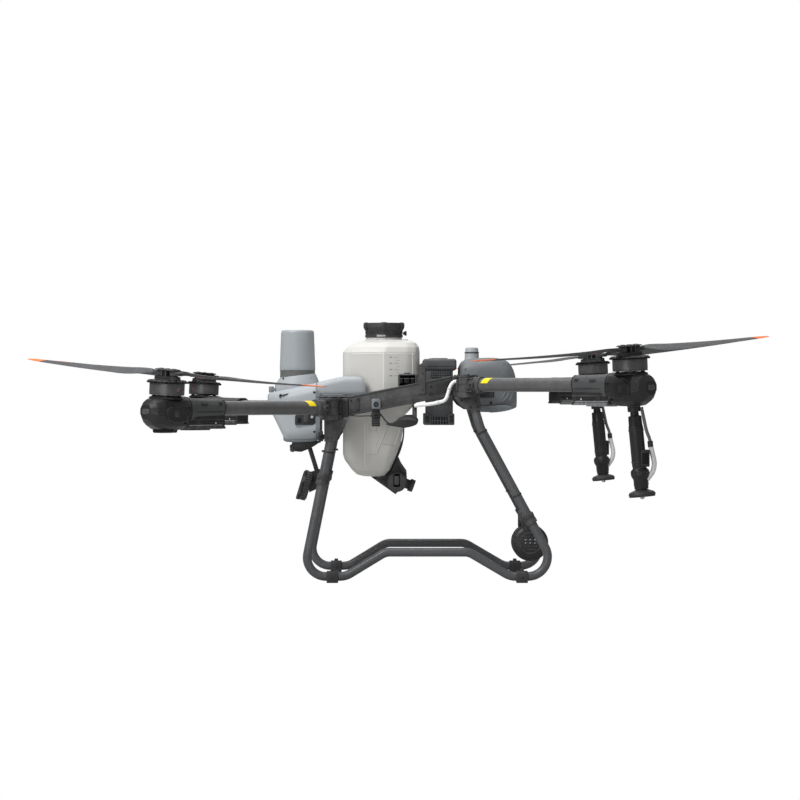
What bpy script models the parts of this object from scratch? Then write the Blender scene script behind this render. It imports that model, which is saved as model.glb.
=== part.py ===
"""Agricultural spray drone: folding quadcopter with a lift-out tank, battery, radars and two centrifugal sprinklers.

Metres, +Z up, the ground at z = 0, the nose towards -X and the left side towards -Y.
Each arm is built in its own frame: x runs from the fold hinge out to the motor, z = 0 is the tube axis.
"""

import math

import bmesh
import bpy
from mathutils import Matrix, Vector

# ---- driving dimensions (metres, degrees) --------------------------------
HINGE_X, HINGE_Y = 0.204, 0.270        # fold hinges, from the centre of the machine
MOTOR_X, MOTOR_Y = 0.6575, 0.7025      # rotor centres
TUBE_Z = {"f": 0.526, "r": 0.594}      # tube axis height, front and rear arms
ARM_LENGTH = math.hypot(MOTOR_X - HINGE_X, MOTOR_Y - HINGE_Y)
ARM_ANGLE = math.degrees(math.atan2(MOTOR_Y - HINGE_Y, MOTOR_X - HINGE_X))
TUBE_R, TUBE_WALL = 0.0205, 0.0018
KNUCKLE_R, PIN_R, CLEAR = 0.024, 0.0058, 0.0005
CANT = 3.76                            # the rotor axis leans this much about the arm
BELL_R, FAN_R = 0.050, 0.058
BLADE_PIN, BLADE_Z, BLADE_SPAN = 0.028, 0.1005, 0.6245
TURN = 1.0                             # the rotors stand turned this much at rest
SKID_Y, SKID_R = 0.245, 0.012
TANK_X, TANK_WALL = -0.045, 0.003      # filler neck axis and wall thickness
BEAM_Y = (0.1605, 0.200)
SPRAY_TOP, SPRAY_LEAN = (0.6668, 0.5245), 5.4

for thing in list(bpy.data.objects):
    bpy.data.objects.remove(thing, do_unlink=True)


# ---- materials -------------------------------------------------------------
def material(name, rgb, roughness, metallic=0.0):
    m = bpy.data.materials.new(name)
    m.use_nodes = True
    shader = m.node_tree.nodes["Principled BSDF"]
    shader.inputs["Base Color"].default_value = (*rgb, 1.0)
    shader.inputs["Roughness"].default_value = roughness
    shader.inputs["Metallic"].default_value = metallic
    m.diffuse_color = (*rgb, 1.0)
    return m


PAINT = {
    "carbon": ("carbon_tube", (0.055, 0.056, 0.058), 0.45, 0.0),
    "cast": ("black_casting", (0.035, 0.036, 0.038), 0.55, 0.0),
    "pod": ("pod_shell", (0.030, 0.031, 0.032), 0.42, 0.0),
    "steel": ("motor_metal", (0.16, 0.16, 0.165), 0.40, 0.9),
    "bell": ("bell_metal", (0.045, 0.046, 0.048), 0.38, 0.6),
    "blade": ("blade_composite", (0.050, 0.051, 0.053), 0.50, 0.0),
    "grey": ("grey_shell", (0.38, 0.40, 0.415), 0.45, 0.0),
    "tank": ("tank_plastic", (0.62, 0.60, 0.57), 0.40, 0.0),
    "rubber": ("foot_rubber", (0.02, 0.02, 0.02), 0.80, 0.0),
    "cap": ("cap_plastic", (0.03, 0.03, 0.03), 0.50, 0.0),
    "pack": ("battery_case", (0.060, 0.062, 0.065), 0.50, 0.0),
    "glass": ("sensor_window", (0.02, 0.02, 0.025), 0.15, 0.0),
}
MATERIALS = {}


def paint(key):
    if key not in MATERIALS:
        MATERIALS[key] = material(*PAINT[key])
    return MATERIALS[key]


# ---- shape tools: each returns a bmesh ------------------------------------
def from_rings(rings, loop=False):
    """Skins rings of equal length; the ends are capped, or joined round when loop is set."""
    bm = bmesh.new()
    rows = [[bm.verts.new(p) for p in ring] for ring in rings]
    n = len(rows[0])
    pairs = list(zip(rows, rows[1:])) + ([(rows[-1], rows[0])] if loop else [])
    for a, b in pairs:
        for i in range(n):
            j = (i + 1) % n
            bm.faces.new((a[i], a[j], b[j], b[i]))
    if not loop:
        bm.faces.new(rows[0][::-1])
        bm.faces.new(rows[-1])
    bmesh.ops.recalc_face_normals(bm, faces=bm.faces[:])
    return bm


def lathe(profile, n=24, place=Matrix(), ring=False):
    """Turns (radius, height) points about the local z axis. ring=True closes the profile on itself, as in a sleeve."""
    bm = bmesh.new()
    rows = []
    for r, z in profile:
        if r < 1e-9:
            rows.append([bm.verts.new((0, 0, z))])
        else:
            rows.append([bm.verts.new((r * math.cos(2 * math.pi * i / n), r * math.sin(2 * math.pi * i / n), z)) for i in range(n)])
    pairs = list(zip(rows, rows[1:])) + ([(rows[-1], rows[0])] if ring else [])
    for a, b in pairs:
        for i in range(n):
            j = (i + 1) % n
            corners = [a[i % len(a)], a[j % len(a)], b[j % len(b)], b[i % len(b)]]
            kept = []
            for v in corners:
                if v not in kept:
                    kept.append(v)
            if len(kept) > 2:
                bm.faces.new(kept)
    if not ring:
        for row, _ in ((rows[0], 0), (rows[-1], 1)):
            if len(row) > 1:
                bm.faces.new(row)
    bmesh.ops.recalc_face_normals(bm, faces=bm.faces[:])
    bm.transform(place)
    return bm


def aim(point, direction):
    """A frame at point whose z axis is direction."""
    return Matrix.Translation(point) @ Vector(direction).to_track_quat("Z", "Y").to_matrix().to_4x4()


def rod(a, b, r, r2=None, n=16):
    a, b = Vector(a), Vector(b)
    return lathe([(0, 0), (r, 0), (r if r2 is None else r2, (b - a).length), (0, (b - a).length)], n, aim(a, b - a))


def box(x0, x1, y0, y1, z0, z1, bevel=0.0, place=Matrix()):
    bm = bmesh.new()
    bmesh.ops.create_cube(bm, size=1.0)
    bm.transform(Matrix.Translation(((x0 + x1) / 2, (y0 + y1) / 2, (z0 + z1) / 2)) @ Matrix.Diagonal((x1 - x0, y1 - y0, z1 - z0, 1)))
    if bevel:
        bmesh.ops.bevel(bm, geom=bm.edges[:], offset=bevel, segments=1, affect="EDGES", clamp_overlap=True)
    bm.transform(place)
    return bm


def prism(points, axis, lo, hi, bevel=0.0, place=Matrix()):
    """Extrudes a 2-D outline. axis "y" takes (x, z) points, "z" takes (x, y), "x" takes (y, z)."""
    def at(p, t):
        return {"y": (p[0], t, p[1]), "z": (p[0], p[1], t), "x": (t, p[0], p[1])}[axis]
    bm = from_rings([[at(p, lo) for p in points], [at(p, hi) for p in points]])
    if bevel:
        bmesh.ops.bevel(bm, geom=bm.edges[:], offset=bevel, segments=1, affect="EDGES", clamp_overlap=True)
    bm.transform(place)
    return bm


def fillet(points, turn=20.0):
    """A centre line through corner points (x, z, radius), its corners rounded."""
    path = [Vector((points[0][0], points[0][1]))]
    for (ax, az, _), (bx, bz, r), (cx, cz, _) in zip(points, points[1:], points[2:]):
        a, b, c = Vector((ax, az)), Vector((bx, bz)), Vector((cx, cz))
        u, v = (a - b).normalized(), (c - b).normalized()
        half = u.angle(v) / 2
        reach = r / math.tan(half)
        start, end = b + u * reach, b + v * reach
        centre = b + (u + v).normalized() * (r / math.sin(half))
        p, q = start - centre, end - centre
        sweep = p.angle_signed(q)
        steps = max(2, math.ceil(abs(math.degrees(sweep)) / turn))
        for i in range(steps + 1):
            s = math.sin(-sweep * i / steps)
            k = math.cos(-sweep * i / steps)
            path.append(centre + Vector((p.x * k - p.y * s, p.x * s + p.y * k)))
    path.append(Vector((points[-1][0], points[-1][1])))
    return path


def pipe_xz(path, y, r, n=10):
    """A round bar along a path in an XZ plane."""
    rings = []
    for i, p in enumerate(path):
        before, after = path[max(i - 1, 0)], path[min(i + 1, len(path) - 1)]
        u, v = (p - before), (after - p)
        u = u.normalized() if u.length > 1e-9 else v.normalized()
        v = v.normalized() if v.length > 1e-9 else u
        t = (u + v).normalized()
        wide = r / max(0.5, t.dot(u))
        side = Vector((t.y, -t.x))
        rings.append([(p.x + side.x * wide * math.cos(k), y + r * math.sin(k), p.y + side.y * wide * math.cos(k))
                      for k in (2 * math.pi * j / n for j in range(n))])
    return from_rings(rings)


def rounded(w, z0, z1, r, x, n=3):
    """A rounded-rectangle ring in a YZ plane at x."""
    r = min(r, w * 0.95, (z1 - z0) * 0.48)
    ring = []
    for cy, cz, start in ((w - r, z1 - r, 0), (-w + r, z1 - r, 90), (-w + r, z0 + r, 180), (w - r, z0 + r, 270)):
        for k in range(n + 1):
            a = math.radians(start + 90 * k / n)
            ring.append((x, cy + r * math.cos(a), cz + r * math.sin(a)))
    return ring


# ---- objects ---------------------------------------------------------------
def temporary(bm):
    mesh = bpy.data.meshes.new("work")
    bm.to_mesh(mesh)
    bm.free()
    thing = bpy.data.objects.new("work", mesh)
    bpy.context.scene.collection.objects.link(thing)
    thing.hide_render = True
    thing.display_type = "WIRE"
    return thing


def merged(adds, cuts=(), solver="EXACT"):
    """One mesh: the union of adds less the cuts."""
    base = temporary(adds[0])
    helpers = []
    for bm, operation in [(b, "UNION") for b in adds[1:]] + [(b, "DIFFERENCE") for b in cuts]:
        helper = temporary(bm)
        helpers.append(helper)
        step = base.modifiers.new(operation.lower(), "BOOLEAN")
        step.operation, step.solver, step.object = operation, solver, helper
    bpy.context.view_layer.update()
    graph = bpy.context.evaluated_depsgraph_get()
    mesh = bpy.data.meshes.new_from_object(base.evaluated_get(graph))
    for thing in [base] + helpers:
        bpy.data.objects.remove(thing, do_unlink=True)
    bm = bmesh.new()
    bm.from_mesh(mesh)
    bmesh.ops.remove_doubles(bm, verts=bm.verts[:], dist=2e-6)
    bmesh.ops.dissolve_degenerate(bm, dist=1e-6, edges=bm.edges[:])
    return bm


def part(name, adds, cuts=(), finish="cast", parent=None, place=Matrix(), mirror=False, angle=32, solver="EXACT"):
    """Makes the named object. With mirror set, the shape is reflected in y before it is placed."""
    bm = merged(list(adds), list(cuts), solver) if len(adds) > 1 or cuts else adds[0]
    if mirror:
        bm.transform(Matrix.Diagonal((1, -1, 1, 1)))
        bmesh.ops.reverse_faces(bm, faces=bm.faces[:])
    mesh = bpy.data.meshes.new(name)
    bm.to_mesh(mesh)
    bm.free()
    mesh.shade_smooth()
    mesh.set_sharp_from_angle(angle=math.radians(angle))
    mesh.materials.append(paint(finish))
    thing = bpy.data.objects.new(name, mesh)
    bpy.context.scene.collection.objects.link(thing)
    thing.parent = parent
    thing.matrix_local = place
    return thing


def empty(name, parent=None, place=Matrix()):
    thing = bpy.data.objects.new(name, None)
    bpy.context.scene.collection.objects.link(thing)
    thing.empty_display_size = 0.05
    thing.parent = parent
    thing.matrix_local = place
    return thing


# ---- one arm, in its own frame ---------------------------------------------
def knuckle():
    barrel = lathe([(0, -0.0215), (KNUCKLE_R, -0.0215), (KNUCKLE_R, 0.0215), (0, 0.0215)], 20)
    along = aim((0, 0, 0), (1, 0, 0))
    sleeve = lathe([(0, 0.0262), (0.0232, 0.0262), (0.0232, 0.052), (0.0252, 0.0535), (0.0252, 0.0635), (0, 0.0645)], 20, along)
    web = box(-0.004, 0.046, -0.0165, 0.0165, -0.0214, 0.0214)
    lug = box(0.032, 0.050, 0.018, 0.0300, -0.007, 0.007)
    bolt = rod((0.041, 0.0295, 0), (0.041, 0.0325, 0), 0.0035, n=6)
    bore = rod((0, 0, -0.03), (0, 0, 0.03), PIN_R + CLEAR, n=14)
    socket = rod((0.030, 0, 0), (0.07, 0, 0), TUBE_R + 0.0006, n=20)
    return [barrel, sleeve, web, lug, bolt], [bore, socket]


def pod(rear):
    rings = []
    for x, w, low, high in ((0.4285, 0.0265, -0.029, 0.0262), (0.436, 0.0275, -0.031, 0.0272), (0.5380, 0.0300, -0.036, 0.0292),
                            (0.5640, 0.0370, -0.0470, 0.0318), (0.5760, 0.0470, -0.0560, 0.0370), (0.6000, 0.0530, -0.0610, 0.0390),
                            (0.6360, 0.0550, -0.0620, 0.0395), (0.6640, 0.0500, -0.0580, 0.0370), (0.6860, 0.0385, -0.0470, 0.0270),
                            (0.7010, 0.0240, -0.0300, 0.0110)):
        mid = (low + high) / 2 + 0.004
        rings.append([(x, w * a, z) for a, z in ((1.0, mid - 0.30 * (mid - low)), (1.0, mid + 0.30 * (high - mid)), (0.80, mid + 0.74 * (high - mid)),
                      (0.46, high), (-0.46, high), (-0.80, mid + 0.74 * (high - mid)), (-1.0, mid + 0.30 * (high - mid)),
                      (-1.0, mid - 0.30 * (mid - low)), (-0.78, mid - 0.76 * (mid - low)), (-0.42, low), (0.42, low), (0.78, mid - 0.76 * (mid - low)))])
    shell = from_rings(rings)
    tray = box(0.430, 0.566, -0.0250, 0.0250, -0.0575, -0.020, 0.002)
    nut = prism([(0.026, -0.05), (0.026, -0.0690), (-0.026, -0.0690), (-0.026, -0.05)], "x", 0.606, 0.656, 0.004) if not rear else \
        rod((0.636, 0, -0.050), (0.636, 0, -0.0662), 0.0175, n=16)
    lamp = box(0.694, 0.7040, -0.013, 0.013, -0.019, 0.004, 0.003)
    socket = rod((0.42, 0, 0), (0.470, 0, 0), TUBE_R + 0.0006, n=20)
    flat = box(-0.07, 0.07, -0.07, 0.07, 0.0340, 0.10, place=Matrix.Translation((ARM_LENGTH, 0, 0)) @ Matrix.Rotation(math.radians(-CANT), 4, "X"))
    return [shell, tray, nut, lamp], [socket, flat]


def stator():
    posts = [rod((0.036 * math.cos(a), 0.036 * math.sin(a), 0.0344), (0.036 * math.cos(a), 0.036 * math.sin(a), 0.047), 0.0055, n=6)
             for a in (math.radians(45 + 90 * k) for k in range(4))]
    hub = rod((0, 0, 0.0344), (0, 0, 0.047), 0.015, n=12)
    core = lathe([(0, 0.0445), (0.0445, 0.0445), (0.0445, 0.0655), (0, 0.0655)], 18)
    bore = rod((0, 0, 0.048), (0, 0, 0.07), 0.0066, n=12)
    return [core, hub] + posts, [bore]


def bell():
    return lathe([(0, 0.050), (0.0056, 0.050), (0.0056, 0.0668), (0.0462, 0.0668), (0.0462, 0.0390), (BELL_R, 0.0390), (BELL_R, 0.0715),
                  (FAN_R, 0.0725), (FAN_R, 0.0785), (0.022, 0.0815), (0, 0.0815)], 20)


def stadium(long, wide, n=4):
    """Plan outline, long along y, with rounded ends."""
    points = []
    for centre, start in ((long - wide, 0), (-(long - wide), 180)):
        for k in range(n + 1):
            a = math.radians(start + 180 * k / n)
            points.append((wide * math.cos(a), centre + wide * math.sin(a)))
    return points


def clamp():
    lower = prism(stadium(0.0480, 0.0205), "z", 0.0822, 0.0920)
    upper = prism(stadium(0.0465, 0.0195), "z", 0.1090, 0.1125)
    hub = box(-0.0105, 0.0105, -0.0110, 0.0110, 0.091, 0.110)
    pins = [rod((0, s * BLADE_PIN, 0.091), (0, s * BLADE_PIN, 0.1145), 0.0042, n=8) for s in (1, -1)]
    return [lower, upper, hub] + pins, []


BLADE_STATIONS = (  # distance from the pin, chord, thickness, pitch in degrees
    (0.018, 0.020, 0.0125, 0), (0.036, 0.034, 0.0110, 6), (0.058, 0.060, 0.0090, 10), (0.088, 0.080, 0.0074, 11.5),
    (0.128, 0.0900, 0.0064, 11), (0.190, 0.0860, 0.0054, 9), (0.300, 0.0700, 0.0044, 6.5),
    (0.420, 0.0540, 0.0036, 5), (0.556, 0.0350, 0.0028, 4), (0.606, 0.0230, 0.0023, 3.5), (0.6245, 0.0100, 0.0019, 3))
SECTION = ((-0.50, 0.0), (-0.30, 0.46), (0.06, 0.58), (0.50, 0.05), (0.50, -0.08), (0.06, -0.36), (-0.34, -0.32))


def blade():
    """Span along +y from the pin, leading edge towards +x, a little upward coning."""
    rings = []
    for s, chord, thick, pitch in BLADE_STATIONS:
        a, rise = math.radians(pitch), 0.0052 * s - 0.0040 * math.sin(math.pi * s / BLADE_SPAN)
        shift = 0.030 * chord
        rings.append([(-(u * chord * math.cos(a) + v * thick * math.sin(a) + shift), s,
                       -u * chord * math.sin(a) + v * thick * math.cos(a) + rise) for u, v in SECTION])
    root = rod((0, 0, -0.0078), (0, 0, 0.0078), 0.0125, n=12)
    neck = box(-0.0085, 0.0085, 0.004, 0.030, -0.0058, 0.0058)
    bore = rod((0, 0, -0.02), (0, 0, 0.02), 0.0047, n=10)
    return [from_rings(rings), root, neck], [bore]


def spray_body():
    return lathe([(0, 0), (0.0122, 0), (0.0122, 0.018), (0.0160, 0.020), (0.0160, 0.042), (0.0185, 0.046), (0.0185, 0.168), (0.0255, 0.174),
                  (0.0262, 0.190), (0.0208, 0.200), (0.0200, 0.2270), (0, 0.2270)], 16)


def spray_disc():
    return lathe([(0, 0.2276), (0.0165, 0.2276), (0.0340, 0.2350), (0.0378, 0.2395), (0.0378, 0.2450), (0.0330, 0.2480),
                  (0.0060, 0.2490), (0.0045, 0.2560), (0, 0.2560)], 18)


def build_arm(code):
    """code is f or r for front or rear, then l or r for the left or right side."""
    sx = -1 if code[0] == "f" else 1
    sy = -1 if code[1] == "l" else 1
    mirror = code in ("fr", "rl")
    z = TUBE_Z[code[0]]
    heading = math.atan2(sy * math.sin(math.radians(ARM_ANGLE)), sx * math.cos(math.radians(ARM_ANGLE)))
    hinge = empty("fold_axis_" + code, None, Matrix.Translation((sx * HINGE_X, sy * HINGE_Y, z)) @ Matrix.Rotation(heading, 4, "Z"))
    along = aim((0, 0, 0), (1, 0, 0))
    a, b = 0.0305, 0.4695
    inner = TUBE_R - TUBE_WALL
    part("arm_tube_" + code, [lathe([(inner, a), (TUBE_R, a), (TUBE_R, b), (inner, b)], 20, along, ring=True)], finish="carbon", parent=hinge)
    part("arm_knuckle_" + code, *knuckle(), finish="cast", parent=hinge, mirror=mirror)
    part("motor_pod_" + code, *pod(code[0] == "r"), finish="pod", parent=hinge, mirror=mirror)
    lean = -CANT if not mirror else CANT
    rotor = empty("rotor_axis_" + code, hinge, Matrix.Translation((ARM_LENGTH, 0, 0)) @ Matrix.Rotation(math.radians(lean), 4, "X")
                  @ Matrix.Rotation(math.radians(-TURN if mirror else TURN), 4, "Z"))
    part("motor_stator_" + code, *stator(), finish="steel", parent=rotor)
    part("motor_bell_" + code, [bell()], finish="bell", parent=rotor)
    part("blade_clamp_" + code, *clamp(), finish="cast", parent=rotor)
    for letter, turn in (("a", 0.0), ("b", 180.0)):
        side = (1 if letter == "a" else -1) * (-1 if mirror else 1)
        place = Matrix.Translation((0, side * BLADE_PIN, BLADE_Z)) @ Matrix.Rotation(math.radians(turn), 4, "Z")
        part(f"blade_{code}_{letter}", *blade(), finish="blade", parent=rotor, place=place, mirror=mirror, angle=50, solver="MANIFOLD")
    if code[0] == "r":
        down = Vector((math.sin(math.radians(SPRAY_LEAN)), 0, -math.cos(math.radians(SPRAY_LEAN))))
        place = hinge.matrix_basis.inverted() @ aim((SPRAY_TOP[0], sy * MOTOR_Y, SPRAY_TOP[1]), down)
        side = "left" if code[1] == "l" else "right"
        part("sprinkler_body_" + side, [spray_body()], finish="pod", parent=hinge, place=place)
        part("sprinkler_disc_" + side, [spray_disc()], finish="cap", parent=hinge, place=place)


for corner in ("fl", "fr", "rl", "rr"):
    build_arm(corner)


# ---- frame -----------------------------------------------------------------
def hinge_fork(sx, sy, z):
    """Two plates and the pin that hold a knuckle, with the web behind them."""
    hx, hy = sx * HINGE_X, sy * HINGE_Y
    shapes = []
    outline = [(hx + 0.0245 * math.cos(a), hy + sy * 0.0245 * math.sin(a)) for a in (math.radians(-8 + 196 * k / 9) for k in range(10))]
    outline += [(hx - 0.034, sy * 0.205), (hx - 0.034, sy * 0.196), (hx + 0.034, sy * 0.196), (hx + 0.034, sy * 0.205)]
    for low, high in ((0.0222, 0.0292), (-0.0372, -0.0222)):
        shapes.append(prism(outline, "z", z + low, z + high))
    shapes.append(rod((hx, hy, z - 0.030), (hx, hy, z + 0.0318), PIN_R, n=10))
    shapes.append(box(hx - 0.0235, hx + 0.0235, *sorted((sy * 0.2425, sy * 0.1980)), z - 0.030, z + 0.025))
    return shapes


def front_frame():
    z = TUBE_Z["f"]
    shapes = [box(-0.2355, -0.1765, -0.207, 0.207, 0.5025, 0.5480, 0.004)]
    cuts = []
    for sy in (-1, 1):
        shapes += hinge_fork(-1, sy, z)
        shapes.append(box(-0.2410, -0.1510, *sorted((sy * 0.1610, sy * 0.2040)), 0.4960, 0.5545, 0.003))
        shapes.append(prism([(-0.2230, 0.4900), (-0.1530, 0.4900), (-0.1620, 0.4660), (-0.1860, 0.4320), (-0.1890, 0.4240), (-0.2225, 0.4240)], "y", *sorted((sy * 0.2270, sy * 0.2630))))
        cuts.append(rod((-0.1952, sy * SKID_Y, 0.4746), (-0.2076, sy * SKID_Y, 0.4130), SKID_R + 0.0006, n=12))
    return shapes, cuts


def rear_frame():
    z = TUBE_Z["r"]
    shapes = [box(0.1830, 0.2420, -0.207, 0.207, 0.5700, 0.6160, 0.004)]
    cuts = []
    for sy in (-1, 1):
        shapes += hinge_fork(1, sy, z)
        shapes.append(box(0.1615, 0.2440, *sorted((sy * 0.1610, sy * 0.2040)), 0.5610, 0.6225, 0.003))
        shapes.append(prism([(0.1650, 0.5580), (0.2420, 0.5580), (0.2480, 0.5360), (0.2495, 0.5180), (0.2080, 0.5180), (0.1850, 0.5330)], "y", *sorted((sy * 0.2270, sy * 0.2630))))
        cuts.append(rod((0.2209, sy * SKID_Y, 0.5488), (0.2357, sy * SKID_Y, 0.5000), SKID_R + 0.0006, n=12))
    return shapes, cuts


part("front_frame", *front_frame(), solver="MANIFOLD")
part("rear_frame", *rear_frame(), solver="MANIFOLD")

for side, sy in (("left", -1), ("right", 1)):
    outline = [(-0.1505, 0.5605), (0.1610, 0.6215), (0.1610, 0.5615), (-0.1505, 0.5005)]
    beam = [prism(outline, "y", *sorted((sy * BEAM_Y[0], sy * BEAM_Y[1])), 0.002)]
    beam.append(box(-0.0830, -0.0570, *sorted((sy * 0.199, sy * 0.2055)), 0.5230, 0.5480, 0.002))
    beam.append(box(0.0000, 0.0580, *sorted((sy * 0.170, sy * 0.1960)), 0.5880, 0.6280, 0.003))
    beam.append(box(0.0620, 0.0830, *sorted((sy * 0.172, sy * 0.2040)), 0.5650, 0.6500, 0.003))
    part(f"side_beam_{side}", beam, [rod((-0.070, sy * 0.20, 0.5355), (-0.070, sy * 0.21, 0.5355), 0.004, n=10)])

    loop = fillet(((-0.1953, 0.4740, 0), (-0.2868, 0.0190, 0.0565), (-0.1590, 0.0190, 0.060), (-0.0394, 0.0917, 0.050),
                   (0.2120, 0.0917, 0.050), (0.3360, 0.0190, 0.060), (0.4879, 0.0190, 0.059), (0.2464, 0.4648, 0.080), (0.2212, 0.5480, 0)))
    part(f"skid_{side}", [pipe_xz(loop, sy * SKID_Y, SKID_R, 10)], finish="carbon", angle=60)
    for end, x in (("front", -0.1985), ("rear", 0.3710)):
        section = [(-0.017, 0.0), (0.017, 0.0), (0.0175, 0.022), (0.0100, 0.0355), (-0.0100, 0.0355), (-0.0175, 0.022)]
        section = [(sy * SKID_Y + y, z) for y, z in section]
        foot = [prism(section, "x", x - 0.0172, x + 0.0172), box(x - 0.006, x + 0.006, sy * SKID_Y - 0.006, sy * SKID_Y + 0.006, 0.034, 0.0420, 0.0015)]
        part(f"foot_{end}_{side}", foot, [rod((x - 0.03, sy * SKID_Y, 0.019), (x + 0.03, sy * SKID_Y, 0.019), SKID_R + 0.0006, n=12)], finish="rubber")


def cross_tube(x, z, r, lean):
    shapes, cuts = [rod((x, -SKID_Y + 0.0148, z), (x, SKID_Y - 0.0148, z), r, n=14)], []
    for sy in (-1, 1):
        way = Vector((lean, 0, 1)).normalized()
        centre = Vector((x, sy * SKID_Y, z))
        shapes.append(rod(centre - way * 0.016, centre + way * 0.016, 0.0178, n=18))
        cuts.append(rod(centre - way * 0.03, centre + way * 0.03, SKID_R + 0.0005, n=20))
    return shapes, cuts


part("front_cross_tube", *cross_tube(-0.2283, 0.3100, 0.0110, 0.2011), finish="carbon")
part("rear_cross_tube", *cross_tube(0.3942, 0.1920, 0.0130, -0.5417), finish="carbon")


# ---- covers ----------------------------------------------------------------
COWL = (  # x, half width, top, bottom, corner radius
    (-0.4020, 0.070, 0.5640, 0.5480, 0.006), (-0.3950, 0.094, 0.5701, 0.5200, 0.020), (-0.3780, 0.112, 0.5738, 0.4880, 0.026),
    (-0.3580, 0.126, 0.5782, 0.4480, 0.030), (-0.3460, 0.132, 0.5809, 0.4260, 0.032), (-0.3300, 0.138, 0.5844, 0.4230, 0.034),
    (-0.2900, 0.147, 0.5932, 0.4260, 0.036), (-0.2520, 0.152, 0.6016, 0.4300, 0.036), (-0.2400, 0.153, 0.6042, 0.4320, 0.036))
HOOD = ((-0.2460, 0.1525, 0.6029), (-0.2060, 0.155, 0.6130), (-0.1650, 0.1565, 0.6212), (-0.1180, 0.1565, 0.6205), (-0.1080, 0.1555, 0.6150), (-0.1016, 0.1535, 0.6040))


def nose_cowl():
    outer = from_rings([rounded(w, low, high, r, x, 3) for x, w, high, low, r in COWL])
    inner = from_rings([rounded(w - 0.004, low + 0.004, high - 0.004, r - 0.003, x, 3) for x, w, high, low, r in
                        [(-0.3960, 0.078, 0.5650, 0.5400, 0.008)] + list(COWL[2:-1]) + [(-0.2300, 0.153, 0.6064, 0.4320, 0.036)]])
    hood = from_rings([rounded(w, 0.5565, high, 0.020, x, 3) for x, w, high in HOOD])
    under = from_rings([rounded(w - 0.004, 0.5400, high - 0.004, 0.017, x, 3) for x, w, high in
                        [(-0.2500, 0.1525, 0.6021)] + list(HOOD[1:-1]) + [(-0.0900, 0.1535, 0.6040)]])
    notch = prism([(-0.1760, -0.100), (-0.1660, -0.1200), (-0.1580, -0.1385), (-0.05, -0.1385), (-0.05, 0.1385), (-0.1580, 0.1385), (-0.1660, 0.1200), (-0.1760, 0.100)], "z", 0.5, 0.7)
    return [outer, hood], [inner, under, notch]


def rear_cowl():
    stations = ((0.1860, 0.100, 0.6500, 0.5160, 0.030), (0.2000, 0.118, 0.6700, 0.5100, 0.034), (0.2400, 0.128, 0.6765, 0.5080, 0.038),
                (0.2900, 0.130, 0.6780, 0.5100, 0.042), (0.3250, 0.125, 0.6720, 0.5140, 0.046), (0.3450, 0.115, 0.6560, 0.5190, 0.046),
                (0.3570, 0.100, 0.6300, 0.5230, 0.040), (0.3630, 0.082, 0.5980, 0.5270, 0.030))
    outer = from_rings([rounded(w, low, high, r, x, 3) for x, w, high, low, r in stations])
    inner = from_rings([rounded(w - 0.004, low + (-0.03 if i < 3 else 0.004), high - 0.004, r - 0.003, x, 3) for i, (x, w, high, low, r) in
                        enumerate([(0.1800, 0.094, 0.6440, 0.5160, 0.030)] + list(stations[1:-1]) + [(0.3585, 0.084, 0.6050, 0.5270, 0.030)])])
    mast = lathe([(0, 0.670), (0.0225, 0.670), (0.0215, 0.692), (0.0195, 0.708), (0.0175, 0.711), (0, 0.711)], 20, Matrix.Translation((0.2270, 0, 0)))
    cross = box(0.10, 0.2460, -0.3, 0.3, 0.50, 0.6200)
    return [outer, mast], [inner, cross]


part("nose_cowl", *nose_cowl(), finish="grey", angle=28)
part("rear_cowl", *rear_cowl(), finish="grey", angle=28)

slope = math.atan(0.22)
dome = lathe([(0, 0.55), (0.0700, 0.55), (0.0700, 0.5960), (0.0660, 0.6040), (0.0565, 0.6220), (0.0540, 0.6245), (0.0540, 0.6405), (0.0552, 0.6415),
              (0.0535, 0.690), (0.0512, 0.7520), (0.0500, 0.7600), (0.0470, 0.7645), (0, 0.7645)], 28, Matrix.Translation((-0.3126, 0, 0)))
below = box(-0.3, 0.3, -0.3, 0.3, -0.2, 0.0, place=Matrix.Translation((-0.3126, 0, 0.5745 + 0.22 * 0.0624 + 0.0006)) @ Matrix.Rotation(-slope, 4, "Y"))
part("radar_dome", [dome, rod((-0.3126 - 0.080, -0.020, 0.560), (-0.3126 - 0.080, -0.020, 0.5905), 0.008, n=10), box(-0.394, -0.36, -0.026, -0.014, 0.560, 0.5860)],
     [below], finish="grey")
part("nose_camera", [prism([(-0.3280, 0.4222), (-0.3300, 0.4060), (-0.3220, 0.3900), (-0.3000, 0.3880), (-0.2750, 0.3980), (-0.2600, 0.4060), (-0.2370, 0.4222)], "y", -0.032, 0.032, 0.003),
                     rod((-0.322, 0, 0.4000), (-0.336, 0, 0.3985), 0.0110, n=16)], finish="glass")
part("avionics_box", [box(-0.3280, -0.2480, -0.080, 0.080, 0.4480, 0.5460, 0.004), box(-0.2500, -0.2372, -0.030, 0.030, 0.5050, 0.5440)], finish="cast")

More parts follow.
